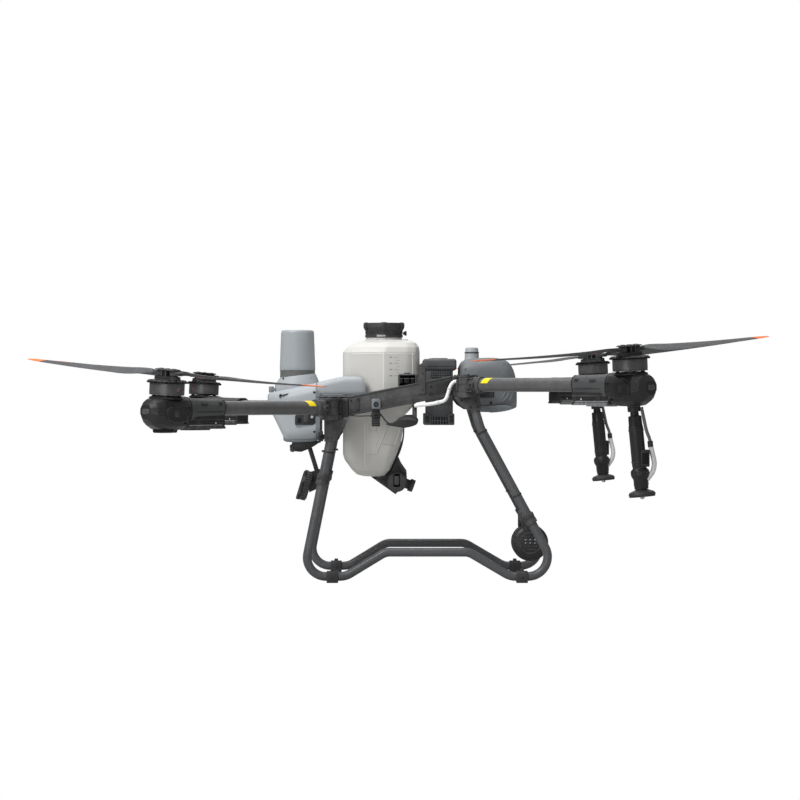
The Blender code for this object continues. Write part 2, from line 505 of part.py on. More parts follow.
# ---- radars ------------------------------------------------------------------
tilt = Matrix.Translation((-0.2890, 0, 0.2830)) @ Matrix.Rotation(math.radians(17), 4, "Y")
panel = [box(-0.0145, -0.0035, -0.070, 0.070, -0.0440, 0.0440, 0.002, tilt), box(-0.0040, 0.0060, -0.064, 0.064, -0.0410, 0.0410, 0.001, tilt)]
panel += [box(0.0050, 0.0140, y - 0.0022, y + 0.0022, -0.0390, 0.0390, 0, tilt) for y in (-0.054, -0.036, -0.018, 0.0, 0.018, 0.036, 0.054)]
panel.append(prism([(-0.284, 0.322), (-0.246, 0.3350), (-0.2060, 0.3260), (-0.2060, 0.2930), (-0.276, 0.262)], "y", -0.0060, 0.0060))
panel.append(rod((-0.2500, 0, 0.3200), (-0.2700, 0, 0.3830), 0.0070, n=12))
part("front_radar", panel, [rod((-0.2283, -0.1, 0.3100), (-0.2283, 0.1, 0.3100), 0.0115, n=16)], finish="cast")

drum = lathe([(0, -0.045), (0.0440, -0.045), (0.0520, -0.040), (0.0560, -0.040), (0.0560, -0.030), (0.0530, -0.028), (0.0530, 0.028),
              (0.0560, 0.030), (0.0560, 0.040), (0.0520, 0.040), (0.0440, 0.045), (0, 0.045)], 24, aim((0.4060, 0, 0.1080), (0, 1, 0)))
arm = prism([(0.3860, 0.150), (0.3740, 0.1780), (0.3760, 0.2060), (0.4000, 0.2140), (0.4140, 0.2000), (0.4160, 0.150)], "y", -0.020, 0.020)
part("rear_radar", [drum, arm], [rod((0.3942, -0.1, 0.1920), (0.3942, 0.1, 0.1920), 0.0135, n=16)], finish="cast")

# ---- tank, sump and cap --------------------------------------------------------
TANK = (  # z, front x, rear x, half width
    (0.3135, -0.108, -0.050, 0.074), (0.3190, -0.128, -0.038, 0.092), (0.3330, -0.143, -0.026, 0.108), (0.3650, -0.166, -0.012, 0.122),
    (0.3820, -0.171, -0.006, 0.127), (0.4200, -0.171, 0.008, 0.132), (0.4650, -0.171, 0.016, 0.135), (0.5020, -0.171, 0.020, 0.135),
    (0.5460, -0.171, 0.060, 0.135), (0.5600, -0.171, 0.065, 0.135), (0.6950, -0.171, 0.065, 0.135), (0.7100, -0.158, 0.063, 0.129),
    (0.7240, -0.136, 0.054, 0.116), (0.7310, -0.116, 0.038, 0.098), (0.7340, -0.104, 0.014, 0.074))


def tank_ring(z, x0, x1, w, inset=0.0):
    """The tank's plan at height z: a broad flat front, its widest point forward of the middle, rounded rear corners."""
    x0, x1, w = x0 + inset, x1 - inset, w - inset
    d = x1 - x0
    half = ((x0, 0.0), (x0, 0.38 * w), (x0 + 0.004, 0.62 * w), (x0 + 0.020, 0.76 * w), (x0 + 0.55 * d, w), (x0 + 0.84 * d, 0.95 * w), (x0 + 0.955 * d, 0.84 * w), (x1, 0.62 * w), (x1, 0.30 * w))
    ring = [(x, -y, z) for x, y in half] + [(x1, 0.0, z)] + [(x, y, z) for x, y in half[:0:-1]]
    return ring


outer = from_rings([tank_ring(*row) for row in TANK])
rows = [(TANK[1][0] - 0.001, *TANK[1][1:])] + list(TANK[2:-1]) + [(0.7312, *TANK[-1][1:])]
hollow = from_rings([tank_ring(z, a, b, w, TANK_WALL) for z, a, b, w in rows])
at_neck = Matrix.Translation((TANK_X, 0, 0))
neck = lathe([(0, 0.728), (0.0560, 0.728), (0.0560, 0.7405), (0.0535, 0.7410), (0.0535, 0.7660), (0.0520, 0.7680), (0, 0.7680)], 24, at_neck)
part("tank", [outer, neck], [hollow, lathe([(0, 0.70), (0.0480, 0.70), (0.0480, 0.80), (0, 0.80)], 24, at_neck)], finish="tank", angle=26)

ring = lathe([(0.0545, 0.7420), (0.0590, 0.7420), (0.0590, 0.7500), (0.0615, 0.7520), (0.0615, 0.7700), (0.0635, 0.7720), (0.0635, 0.7865), (0.0545, 0.7865)], 24, at_neck, ring=True)
lugs = [box(0.0600, 0.0665, -0.006, 0.006, 0.7640, 0.7880, 0, at_neck @ Matrix.Rotation(math.radians(30 + 60 * k), 4, "Z")) for k in range(6)]
part("cap_ring", [ring] + lugs, finish="cap")
lid = lathe([(0, 0.7460), (0.0470, 0.7460), (0.0470, 0.7684), (0.0536, 0.7692), (0.0536, 0.7760), (0.0500, 0.7785), (0.0200, 0.7810), (0.0100, 0.7812), (0.0090, 0.7890), (0, 0.7895)], 24, at_neck)
ribs = [box(0.008, 0.0470, -0.0016, 0.0016, 0.7740, 0.7845, 0, at_neck @ Matrix.Rotation(math.radians(60 * k), 4, "Z")) for k in range(6)]
part("cap_lid", [lid] + ribs, finish="cap")

sump = prism([(-0.0840, 0.3118), (-0.0470, 0.3118), (-0.0350, 0.3165), (-0.0225, 0.3312), (-0.0085, 0.3645), (-0.0030, 0.3780), (0.0075, 0.3540), (0.0248, 0.3290),
              (0.0270, 0.2900), (0.0149, 0.2740), (-0.0028, 0.2677), (-0.0087, 0.2578)], "y", -0.052, 0.052)
lean = Matrix.Translation((0.0230, 0, 0.2900)) @ Matrix.Rotation(math.radians(20), 4, "Y")
outlet = lathe([(0, -0.002), (0.0150, -0.002), (0.0150, 0.0100), (0.0195, 0.0110), (0.0195, 0.0250), (0.0160, 0.0265), (0, 0.0265)], 20, lean @ Matrix.Rotation(math.radians(90), 4, "Y"))
pump = lathe([(0, 0), (0.0300, 0), (0.0300, 0.030), (0.0260, 0.034), (0, 0.034)], 20, aim((-0.0050, -0.0490, 0.2960), (0, -1, 0)))
part("tank_sump", [sump, outlet, pump], finish="cast")

# ---- battery -----------------------------------------------------------------
pack = [box(0.0840, 0.1665, -0.112, 0.112, 0.4770, 0.6500, 0.004), box(0.0745, 0.1775, -0.118, 0.118, 0.6390, 0.6745, 0.008),
        box(0.0770, 0.1710, -0.118, 0.118, 0.4720, 0.4985, 0.004), prism([(0.088, 0.672), (0.096, 0.6770), (0.150, 0.6770), (0.160, 0.672)], "y", -0.060, 0.060, 0.002)]
part("battery", pack, finish="pack")
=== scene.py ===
import math

import bmesh
import bpy
from mathutils import Matrix, Vector


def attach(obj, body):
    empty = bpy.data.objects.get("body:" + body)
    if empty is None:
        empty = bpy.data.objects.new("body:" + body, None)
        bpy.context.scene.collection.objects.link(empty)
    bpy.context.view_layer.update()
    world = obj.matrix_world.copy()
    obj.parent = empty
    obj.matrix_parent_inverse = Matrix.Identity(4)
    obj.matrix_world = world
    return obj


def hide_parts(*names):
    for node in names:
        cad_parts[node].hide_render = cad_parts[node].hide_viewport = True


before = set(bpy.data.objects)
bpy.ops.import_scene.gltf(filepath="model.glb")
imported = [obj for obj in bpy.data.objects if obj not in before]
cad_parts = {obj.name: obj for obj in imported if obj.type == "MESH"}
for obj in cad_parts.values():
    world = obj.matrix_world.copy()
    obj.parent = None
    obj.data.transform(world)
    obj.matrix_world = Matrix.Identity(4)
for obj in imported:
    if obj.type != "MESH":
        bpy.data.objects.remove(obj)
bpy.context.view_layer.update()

# ---- driving dimensions, the same as the CAD -------------------------------
HINGE_X, HINGE_Y = 0.204, 0.270
MOTOR_X, MOTOR_Y = 0.6575, 0.7025
TUBE_Z = {"f": 0.526, "r": 0.594}
ARM_LENGTH = math.hypot(MOTOR_X - HINGE_X, MOTOR_Y - HINGE_Y)
ARM_ANGLE = math.degrees(math.atan2(MOTOR_Y - HINGE_Y, MOTOR_X - HINGE_X))
TUBE_R, CANT = 0.0205, 3.76
BELL_R, FAN_R = 0.050, 0.058
BLADE_PIN, BLADE_Z = 0.028, 0.1005
SKID_Y, SKID_R, TANK_X = 0.245, 0.012, -0.045
SPRAY_TOP, SPRAY_LEAN = (0.6668, 0.5245), 5.4
TURN = 1.0


# ---- materials ---------------------------------------------------------------
def srgb(r, g, b):
    return tuple((c / 255 / 12.92) if c / 255 <= 0.04045 else ((c / 255 + 0.055) / 1.055) ** 2.4 for c in (r, g, b))


def ramp(nt, source, a, b, lo, hi):
    node = nt.nodes.new("ShaderNodeMapRange")
    node.inputs["From Min"].default_value, node.inputs["From Max"].default_value = a, b
    node.inputs["To Min"].default_value, node.inputs["To Max"].default_value = lo, hi
    nt.links.new(source, node.inputs["Value"])
    return node.outputs["Result"]


def noise(nt, coords, scale, detail=3.0, rough=0.55, stretch=None):
    if stretch:
        m = nt.nodes.new("ShaderNodeMapping")
        m.inputs["Scale"].default_value = stretch
        nt.links.new(coords, m.inputs["Vector"])
        coords = m.outputs["Vector"]
    node = nt.nodes.new("ShaderNodeTexNoise")
    node.inputs["Scale"].default_value, node.inputs["Detail"].default_value, node.inputs["Roughness"].default_value = scale, detail, rough
    nt.links.new(coords, node.inputs["Vector"])
    return node.outputs["Fac"]


def mix(nt, fac, a, b, mode="MIX"):
    node = nt.nodes.new("ShaderNodeMix")
    node.data_type, node.blend_type = "RGBA", mode
    for value, socket in ((fac, node.inputs[0]), (a, node.inputs[6]), (b, node.inputs[7])):
        if isinstance(value, (int, float)):
            socket.default_value = value
        elif isinstance(value, tuple):
            socket.default_value = (*value, 1.0)
        else:
            nt.links.new(value, socket)
    return node.outputs[2]


def finish(name, rgb, roughness, metallic=0.0, vary=0.10, grain=700, bump=0.12, wear=0.25, worn=None, dust=0.06, kind="plastic",
           subsurface=0.0, coat=0.0, spread=0.10, spec=0.35):
    """A moulded, painted or metal surface: colour drift, fine grain in bump and roughness, lighter worn edges, a little dust on top faces."""
    m = bpy.data.materials.new(name)
    m.use_nodes = True
    nt = m.node_tree
    shader = nt.nodes["Principled BSDF"]
    coords = nt.nodes.new("ShaderNodeTexCoord").outputs["Object"]
    geometry = nt.nodes.new("ShaderNodeNewGeometry")
    drift = noise(nt, coords, 9.0, 4.0)
    dark = tuple(c * (1 - vary) for c in rgb)
    light = tuple(min(1.0, c * (1 + vary)) for c in rgb)
    colour = mix(nt, ramp(nt, drift, 0.3, 0.7, 0.0, 1.0), dark, light)
    fine = noise(nt, coords, grain, 2.0)
    height = fine
    if kind == "carbon":
        wave = nt.nodes.new("ShaderNodeTexWave")
        wave.inputs["Scale"].default_value, wave.inputs["Distortion"].default_value = 240.0, 0.6
        nt.links.new(coords, wave.inputs["Vector"])
        wave2 = nt.nodes.new("ShaderNodeTexWave")
        wave2.bands_direction = "Z"
        wave2.inputs["Scale"].default_value, wave2.inputs["Distortion"].default_value = 240.0, 0.6
        nt.links.new(coords, wave2.inputs["Vector"])
        twill = nt.nodes.new("ShaderNodeMath")
        twill.operation = "MULTIPLY"
        nt.links.new(wave.outputs["Fac"], twill.inputs[0])
        nt.links.new(wave2.outputs["Fac"], twill.inputs[1])
        colour = mix(nt, ramp(nt, twill.outputs[0], 0.0, 1.0, 0.0, 0.22), colour, tuple(min(1, c * 1.9) for c in rgb))
        height = twill.outputs[0]
    if kind == "brushed":
        height = noise(nt, coords, 60.0, 3.0, 0.7, (1.0, 1.0, 22.0))
    edge = ramp(nt, geometry.outputs["Pointiness"], 0.505, 0.56, 0.0, 1.0)
    patch = ramp(nt, noise(nt, coords, 38.0, 5.0, 0.65), 0.42, 0.66, 0.0, wear)
    rub = nt.nodes.new("ShaderNodeMath")
    rub.operation = "MULTIPLY"
    nt.links.new(edge, rub.inputs[0])
    nt.links.new(patch, rub.inputs[1])
    colour = mix(nt, rub.outputs[0], colour, worn or tuple(min(1.0, c * 2.2 + 0.02) for c in rgb))
    split = nt.nodes.new("ShaderNodeSeparateXYZ")
    nt.links.new(geometry.outputs["Normal"], split.inputs[0])
    up = ramp(nt, split.outputs["Z"], 0.55, 1.0, 0.0, dust)
    cloud = ramp(nt, noise(nt, coords, 16.0, 6.0, 0.7), 0.4, 0.7, 0.0, 1.0)
    settle = nt.nodes.new("ShaderNodeMath")
    settle.operation = "MULTIPLY"
    nt.links.new(up, settle.inputs[0])
    nt.links.new(cloud, settle.inputs[1])
    colour = mix(nt, settle.outputs[0], colour, (0.42, 0.40, 0.36))
    nt.links.new(colour, shader.inputs["Base Color"])
    shine = ramp(nt, noise(nt, coords, 42.0, 5.0, 0.6), 0.25, 0.75, max(0.03, roughness - spread), min(1.0, roughness + spread))
    nt.links.new(shine, shader.inputs["Roughness"])
    shader.inputs["Metallic"].default_value = metallic
    shader.inputs["Specular IOR Level"].default_value = spec
    shader.inputs["Coat Weight"].default_value = coat
    shader.inputs["Coat Roughness"].default_value = 0.15
    if subsurface:
        shader.inputs["Subsurface Weight"].default_value = subsurface
        shader.inputs["Subsurface Radius"].default_value = (0.012, 0.011, 0.010)
    bumps = nt.nodes.new("ShaderNodeBump")
    bumps.inputs["Strength"].default_value = bump
    bumps.inputs["Distance"].default_value = 0.0006
    nt.links.new(height, bumps.inputs["Height"])
    nt.links.new(bumps.outputs["Normal"], shader.inputs["Normal"])
    return m


def blade_paint():
    """Dark matt composite whose last tenth is orange; the distance from the pin is in the attribute span."""
    m = finish("blade_composite", srgb(70, 71, 73), 0.50, vary=0.07, grain=420, bump=0.06, wear=0.2, dust=0.02, spec=0.12)
    nt = m.node_tree
    shader = nt.nodes["Principled BSDF"]
    before = shader.inputs["Base Color"].links[0].from_socket
    attribute = nt.nodes.new("ShaderNodeAttribute")
    attribute.attribute_name = "span"
    coords = nt.nodes.new("ShaderNodeTexCoord").outputs["Object"]
    speck = ramp(nt, noise(nt, coords, 120.0, 3.0), 0.3, 0.7, -0.0006, 0.0006)
    total = nt.nodes.new("ShaderNodeMath")
    nt.links.new(attribute.outputs["Fac"], total.inputs[0])
    nt.links.new(speck, total.inputs[1])
    tip = ramp(nt, total.outputs[0], 0.5505, 0.5515, 0.0, 1.0)
    nt.links.new(mix(nt, tip, before, srgb(240, 118, 50)), shader.inputs["Base Color"])
    return m


MAKE = {
    "carbon": lambda: finish("carbon_tube", srgb(82, 82, 83), 0.36, kind="carbon", vary=0.06, bump=0.10, wear=0.15, coat=0.15),
    "skid": lambda: finish("skid_tube", srgb(80, 81, 83), 0.38, kind="carbon", vary=0.08, bump=0.12, wear=0.3, coat=0.12),
    "cast": lambda: finish("black_casting", srgb(64, 64, 65), 0.50, vary=0.10, grain=900, bump=0.25, wear=0.5),
    "pod": lambda: finish("pod_shell", srgb(33, 33, 34), 0.40, vary=0.08, grain=1100, bump=0.16, wear=0.3),
    "esc": lambda: finish("esc_housing", srgb(72, 73, 74), 0.44, vary=0.08, grain=1000, bump=0.16, wear=0.3),
    "spot": lambda: finish("pale_spot", srgb(206, 208, 210), 0.35, vary=0.03, grain=300, bump=0.05, wear=0.1),
    "trim": lambda: finish("black_trim", srgb(42, 42, 43), 0.42, vary=0.10, grain=800, bump=0.15, wear=0.3),
    "steel": lambda: finish("motor_metal", srgb(120, 120, 122), 0.38, 0.9, vary=0.08, kind="brushed", bump=0.15, wear=0.3),
    "copper": lambda: finish("winding_copper", srgb(150, 84, 48), 0.35, 0.8, vary=0.15, grain=300, bump=0.3),
    "bell": lambda: finish("bell_metal", srgb(84, 84, 85), 0.36, 0.45, vary=0.06, kind="brushed", bump=0.10, wear=0.4),
    "dark_bolt": lambda: finish("dark_steel", srgb(62, 62, 64), 0.34, 0.7, vary=0.06, kind="brushed", bump=0.08, wear=0.3),
    "black": lambda: finish("deep_black", srgb(14, 14, 15), 0.50, vary=0.10, grain=800, bump=0.10, wear=0.1, dust=0.02, spec=0.25),
    "comb": lambda: finish("cooling_comb", srgb(150, 153, 155), 0.45, 0.3, vary=0.06, grain=700, bump=0.15, wear=0.3),
    "screw": lambda: finish("screw_steel", srgb(175, 176, 178), 0.28, 1.0, vary=0.05, kind="brushed", bump=0.08, wear=0.2),
    "grey": lambda: finish("grey_shell", srgb(166, 171, 175), 0.44, vary=0.035, grain=1300, bump=0.10, wear=0.25, worn=srgb(200, 204, 206), dust=0.05),
    # the grey shell colour darkened: painted shade for the shaded grey parts
    "grey_painted_shade": lambda: finish("grey_shell_shaded", srgb(112, 118, 123), 0.46, vary=0.05, grain=1300, bump=0.12, wear=0.25, worn=srgb(170, 174, 176)),
    "rear_grey": lambda: finish("grey_shell_rear", srgb(112, 115, 118), 0.46, vary=0.04, grain=1300, bump=0.10, wear=0.25, worn=srgb(170, 174, 176), dust=0.04),
    "dome": lambda: finish("dome_plastic", srgb(158, 163, 167), 0.34, vary=0.03, grain=1500, bump=0.06, wear=0.1, coat=0.12),
    "band": lambda: finish("dome_band", srgb(98, 99, 98), 0.40, vary=0.06, grain=900, bump=0.10, wear=0.2),
    "tank": lambda: finish("tank_plastic", srgb(204, 203, 199), 0.36, vary=0.03, grain=260, bump=0.10, wear=0.1, worn=srgb(235, 233, 229), subsurface=0.25, dust=0.03),
    # tank colour lightened: painted highlight along the tank's creases and ridges
    "tank_painted_highlight": lambda: finish("tank_painted_highlight", srgb(226, 225, 222), 0.34, vary=0.03, grain=260, bump=0.08, wear=0.1, subsurface=0.2, dust=0.02),
    # tank colour darkened: painted shade beside the ridges and around the embossed shapes
    "tank_painted_shade": lambda: finish("tank_painted_shade", srgb(178, 176, 171), 0.40, vary=0.03, grain=260, bump=0.08, wear=0.1, subsurface=0.2, dust=0.02),
    "tank_mark": lambda: finish("tank_mark", srgb(142, 139, 134), 0.42, vary=0.03, grain=300, bump=0.10, wear=0.1, subsurface=0.1),
    "hose_white": lambda: finish("white_hose", srgb(250, 250, 250), 0.30, vary=0.01, grain=400, bump=0.05, wear=0.0, dust=0.0, subsurface=0.2),
    "hose_clear": lambda: finish("clear_hose", srgb(222, 222, 220), 0.22, vary=0.03, grain=400, bump=0.05, wear=0.0, subsurface=0.3, coat=0.3),
    "hose_grey": lambda: finish("grey_hose", srgb(104, 107, 108), 0.40, vary=0.06, grain=500, bump=0.10, wear=0.1),
    "rubber": lambda: finish("foot_rubber", srgb(58, 58, 58), 0.72, vary=0.14, grain=500, bump=0.35, wear=0.3, worn=srgb(80, 79, 76)),
    "cable": lambda: finish("cable_sheath", srgb(24, 24, 25), 0.45, vary=0.10, grain=500, bump=0.15, wear=0.1),
    "cap": lambda: finish("cap_plastic", srgb(54, 54, 55), 0.46, vary=0.10, grain=800, bump=0.2, wear=0.4),
    "pack": lambda: finish("battery_case", srgb(78, 80, 82), 0.48, vary=0.06, grain=900, bump=0.25, wear=0.4),
    "glass": lambda: finish("sensor_window", srgb(24, 24, 27), 0.10, vary=0.05, grain=200, bump=0.02, wear=0.1, coat=0.8, spread=0.04),
    "yellow": lambda: finish("yellow_sticker", srgb(247, 222, 12), 0.38, vary=0.04, grain=300, bump=0.05, wear=0.2, worn=srgb(160, 150, 60), dust=0.0),
    "orange": lambda: finish("orange_plastic", srgb(238, 112, 48), 0.42, vary=0.05, grain=400, bump=0.06, wear=0.2),
    "red": lambda: finish("red_mark", srgb(168, 110, 108), 0.45, vary=0.08, grain=300, bump=0.05, wear=0.2),
    "label": lambda: finish("blank_label", srgb(150, 151, 152), 0.50, vary=0.05, grain=300, bump=0.05, wear=0.4),
    "lamp": lambda: finish("lamp_diffuser", srgb(74, 76, 78), 0.25, vary=0.03, grain=300, bump=0.04, wear=0.1, subsurface=0.2),
    "blade": blade_paint,
}
MATS = {}


def mat(key):
    if key not in MATS:
        MATS[key] = MAKE[key]()
    return MATS[key]


# ---- shape tools -------------------------------------------------------------
def from_rings(rings, loop=False, cap=True):
    bm = bmesh.new()
    rows = [[bm.verts.new(p) for p in ring] for ring in rings]
    n = len(rows[0])
    for a, b in list(zip(rows, rows[1:])) + ([(rows[-1], rows[0])] if loop else []):
        for i in range(n):
            j = (i + 1) % n
            bm.faces.new((a[i], a[j], b[j], b[i]))
    if not loop and cap:
        bm.faces.new(rows[0][::-1])
        bm.faces.new(rows[-1])
    bmesh.ops.recalc_face_normals(bm, faces=bm.faces[:])
    return bm


def lathe(profile, n=64, place=Matrix(), ring=False, soften=0.0):
    bm = bmesh.new()
    rows = []
    for r, z in profile:
        if r < 1e-9:
            rows.append([bm.verts.new((0, 0, z))])
        else:
            rows.append([bm.verts.new((r * math.cos(2 * math.pi * i / n), r * math.sin(2 * math.pi * i / n), z)) for i in range(n)])
    for a, b in list(zip(rows, rows[1:])) + ([(rows[-1], rows[0])] if ring else []):
        for i in range(n):
            j = (i + 1) % n
            kept = []
            for v in (a[i % len(a)], a[j % len(a)], b[j % len(b)], b[i % len(b)]):
                if v not in kept:
                    kept.append(v)
            if len(kept) > 2:
                bm.faces.new(kept)
    if not ring:
        for row in (rows[0], rows[-1]):
            if len(row) > 1:
                bm.faces.new(row)
    bmesh.ops.recalc_face_normals(bm, faces=bm.faces[:])
    if soften:
        edges = [e for e in bm.edges if len(e.link_faces) == 2 and e.calc_face_angle(0) > math.radians(32)]
        bmesh.ops.bevel(bm, geom=edges, offset=soften, segments=2, profile=0.5, affect="EDGES", clamp_overlap=True)
    bm.transform(place)
    return bm


def aim(point, direction):
    return Matrix.Translation(point) @ Vector(direction).to_track_quat("Z", "Y").to_matrix().to_4x4()


def rod(a, b, r, r2=None, n=32, soften=0.0):
    a, b = Vector(a), Vector(b)
    return lathe([(0, 0), (r, 0), (r if r2 is None else r2, (b - a).length), (0, (b - a).length)], n, aim(a, b - a), soften=soften)


def bolt(at, normal, r=0.0035, h=0.0022, n=20):
    """A socket-head screw: a rounded head with a round recess."""
    head = lathe([(0, 0), (r, 0), (r, h * 0.75), (r * 0.86, h), (r * 0.52, h), (r * 0.50, h * 0.35), (0, h * 0.35)], n, aim(at, normal))
    return head


def box(x0, x1, y0, y1, z0, z1, bevel=0.0, place=Matrix(), segments=2):
    bm = bmesh.new()
    bmesh.ops.create_cube(bm, size=1.0)
    bm.transform(Matrix.Translation(((x0 + x1) / 2, (y0 + y1) / 2, (z0 + z1) / 2)) @ Matrix.Diagonal((x1 - x0, y1 - y0, z1 - z0, 1)))
    if bevel:
        bmesh.ops.bevel(bm, geom=bm.edges[:], offset=bevel, segments=segments, profile=0.5, affect="EDGES", clamp_overlap=True)
    bm.transform(place)
    return bm


def prism(points, axis, lo, hi, bevel=0.0, place=Matrix(), segments=2):
    def at(p, t):
        return {"y": (p[0], t, p[1]), "z": (p[0], p[1], t), "x": (t, p[0], p[1])}[axis]
    bm = from_rings([[at(p, lo) for p in points], [at(p, hi) for p in points]])
    if bevel:
        bmesh.ops.bevel(bm, geom=bm.edges[:], offset=bevel, segments=segments, profile=0.5, affect="EDGES", clamp_overlap=True)
    bm.transform(place)
    return bm


def fillet(points, turn=6.0):
    path = [Vector((points[0][0], points[0][1]))]
    for (ax, az, _), (bx, bz, r), (cx, cz, _) in zip(points, points[1:], points[2:]):
        a, b, c = Vector((ax, az)), Vector((bx, bz)), Vector((cx, cz))
        u, v = (a - b).normalized(), (c - b).normalized()
        half = u.angle(v) / 2
        reach = r / math.tan(half)
        start, end = b + u * reach, b + v * reach
        centre = b + (u + v).normalized() * (r / math.sin(half))
        p, q = start - centre, end - centre
        sweep = p.angle_signed(q)
        steps = max(2, math.ceil(abs(math.degrees(sweep)) / turn))
        for i in range(steps + 1):
            s, k = math.sin(-sweep * i / steps), math.cos(-sweep * i / steps)
            path.append(centre + Vector((p.x * k - p.y * s, p.x * s + p.y * k)))
    path.append(Vector((points[-1][0], points[-1][1])))
    return path


def tube(points, r, n=16, ends=True):
    """A round bar or hose through 3-D points, with parallel-carried rings."""
    pts = [Vector(p) for p in points]
    tangents = []
    for i in range(len(pts)):
        t = pts[min(i + 1, len(pts) - 1)] - pts[max(i - 1, 0)]
        tangents.append(t.normalized())
    up = Vector((0, 0, 1)) if abs(tangents[0].z) < 0.9 else Vector((0, 1, 0))
    side = tangents[0].cross(up).normalized()
    rings = []
    for p, t in zip(pts, tangents):
        side = (side - t * side.dot(t)).normalized()
        other = t.cross(side)
        rings.append([p + (side * math.cos(2 * math.pi * k / n) + other * math.sin(2 * math.pi * k / n)) * r for k in range(n)])
    return from_rings(rings, cap=ends)


def curve(points, steps=8):
    """A smooth line through the points (Catmull-Rom)."""
    pts = [Vector(p) for p in points]
    pts = [pts[0] * 2 - pts[1]] + pts + [pts[-1] * 2 - pts[-2]]
    out = []
    for a, b, c, d in zip(pts, pts[1:], pts[2:], pts[3:]):
        for k in range(steps):
            t = k / steps
            out.append(0.5 * ((2 * b) + (c - a) * t + (2 * a - 5 * b + 4 * c - d) * t * t + (3 * b - a - 3 * c + d) * t ** 3))
    out.append(pts[-2])
    return out


def rounded(w, z0, z1, r, x, n=8):
    r = min(r, w * 0.95, (z1 - z0) * 0.48)
    ring = []
    for cy, cz, start in ((w - r, z1 - r, 0), (-w + r, z1 - r, 90), (-w + r, z0 + r, 180), (w - r, z0 + r, 270)):
        for k in range(n + 1):
            a = math.radians(start + 90 * k / n)
            ring.append((x, cy + r * math.cos(a), cz + r * math.sin(a)))
    return ring


def ring_interp(rows, steps):
    """Adds smooth stations between the rows of numbers."""
    out = []
    ext = [tuple(2 * a - b for a, b in zip(rows[0], rows[1]))] + list(rows) + [tuple(2 * a - b for a, b in zip(rows[-1], rows[-2]))]
    for a, b, c, d in zip(ext, ext[1:], ext[2:], ext[3:]):
        for k in range(steps):
            t = k / steps
            out.append(tuple(0.5 * (2 * q + (r - p) * t + (2 * p - 5 * q + 4 * r - s) * t * t + (3 * q - p - 3 * r + s) * t ** 3)
                             for p, q, r, s in zip(a, b, c, d)))
    out.append(tuple(rows[-1]))
    return out


# ---- pieces --------------------------------------------------------------------
def piece(name, items, body, nodes=(), place=Matrix(), mirror=False, angle=30, bevel=0.0):
    """items: (bmesh, material key). All become one object that rides on body and stands for the CAD nodes."""
    keys, work = [], bmesh.new()
    for bm, key in items:
        if key not in keys:
            keys.append(key)
        for f in bm.faces:
            f.material_index = keys.index(key)
        temp = bpy.data.meshes.new("temp")
        bm.to_mesh(temp)
        bm.free()
        work.from_mesh(temp)
        bpy.data.meshes.remove(temp)
    if mirror:
        work.transform(Matrix.Diagonal((1, -1, 1, 1)))
        bmesh.ops.reverse_faces(work, faces=work.faces[:])
    work.transform(place)
    mesh = bpy.data.meshes.new(name)
    work.to_mesh(mesh)
    work.free()
    mesh.shade_smooth()
    mesh.set_sharp_from_angle(angle=math.radians(angle))
    for key in keys:
        mesh.materials.append(mat(key))
    thing = bpy.data.objects.new(name, mesh)
    bpy.context.scene.collection.objects.link(thing)
    if bevel:
        b = thing.modifiers.new("edges", "BEVEL")
        b.width, b.segments, b.limit_method, b.angle_limit = bevel, 2, "ANGLE", math.radians(40)
        b.harden_normals = False
    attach(thing, body)
    if nodes:
        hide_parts(*nodes)
    return thing


def solid_node(node):
    """The CAD node's mesh as a welded bmesh, flat areas merged, to be refined."""
    bm = bmesh.new()
    bm.from_mesh(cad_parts[node].data)
    bmesh.ops.remove_doubles(bm, verts=bm.verts[:], dist=1e-6)
    bmesh.ops.dissolve_limit(bm, angle_limit=math.radians(0.6), verts=bm.verts[:], edges=bm.edges[:])
    return bm


def soft_edges(bm, offset, least=28.0, segments=2):
    edges = [e for e in bm.edges if len(e.link_faces) == 2 and e.calc_face_angle(0) > math.radians(least)]
    bmesh.ops.bevel(bm, geom=edges, offset=offset, segments=segments, profile=0.5, affect="EDGES", clamp_overlap=True)
    return bm


# ---- arms ------------------------------------------------------------------------
def knuckle_items():
    along = aim((0, 0, 0), (1, 0, 0))
    items = [
        (lathe([(0.0063, -0.0215), (0.0235, -0.0215), (0.0240, -0.0208), (0.0240, -0.004), (0.0232, -0.003), (0.0232, 0.003), (0.0240, 0.004), (0.0240, 0.0208), (0.0235, 0.0215), (0.0063, 0.0215)], 56, ring=True), "cast"),
        (lathe([(0.0208, 0.0270), (0.0232, 0.0262), (0.0235, 0.0300), (0.0228, 0.0310), (0.0228, 0.0340), (0.0236, 0.0350), (0.0236, 0.0500), (0.0252, 0.0520), (0.0252, 0.0615), (0.0245, 0.0635), (0.0225, 0.0645), (0.0208, 0.0640)], 64, along, ring=True), "cast"),
        # core box in black trim: painted shade in the pockets between the ribs
        (box(0.006, 0.0400, -0.0165, 0.0165, -0.0212, 0.0212, 0.0016), "trim"),
        (box(0.0320, 0.0500, 0.0195, 0.0300, -0.0070, 0.0070, 0.0015), "cast"),
        (bolt((0.041, 0.0300, 0), (0, 1, 0), 0.0036, 0.0024), "dark_bolt"),
        (bolt((0.0560, 0.0150, -0.0215), (0, 0.5, -0.8), 0.0022, 0.0014), "screw"),
    ]
    # open box-like frame on the two faces, so the casting reads as ribs over pockets, the core's black trim painting
    # the pockets dark as shade
    for s in (1, -1):
        for x in (0.0075, 0.0215, 0.0370):
            items.append((box(x - 0.0016, x + 0.0016, *sorted((s * 0.0150, s * 0.0212)), -0.0214, 0.0214, 0.0008), "cast"))
        for z in (-0.0198, 0.0198, -0.0060):
            items.append((box(0.0060, 0.0385, *sorted((s * 0.0150, s * 0.0208)), z - 0.0016, z + 0.0016, 0.0007), "cast"))
    for k in range(10):
        a = math.radians(36 * k)
        items.append((box(0.0525, 0.0610, -0.0022, 0.0022, 0.0250, 0.0258, 0.0004, Matrix.Rotation(a, 4, "X")), "cast"))
    return items


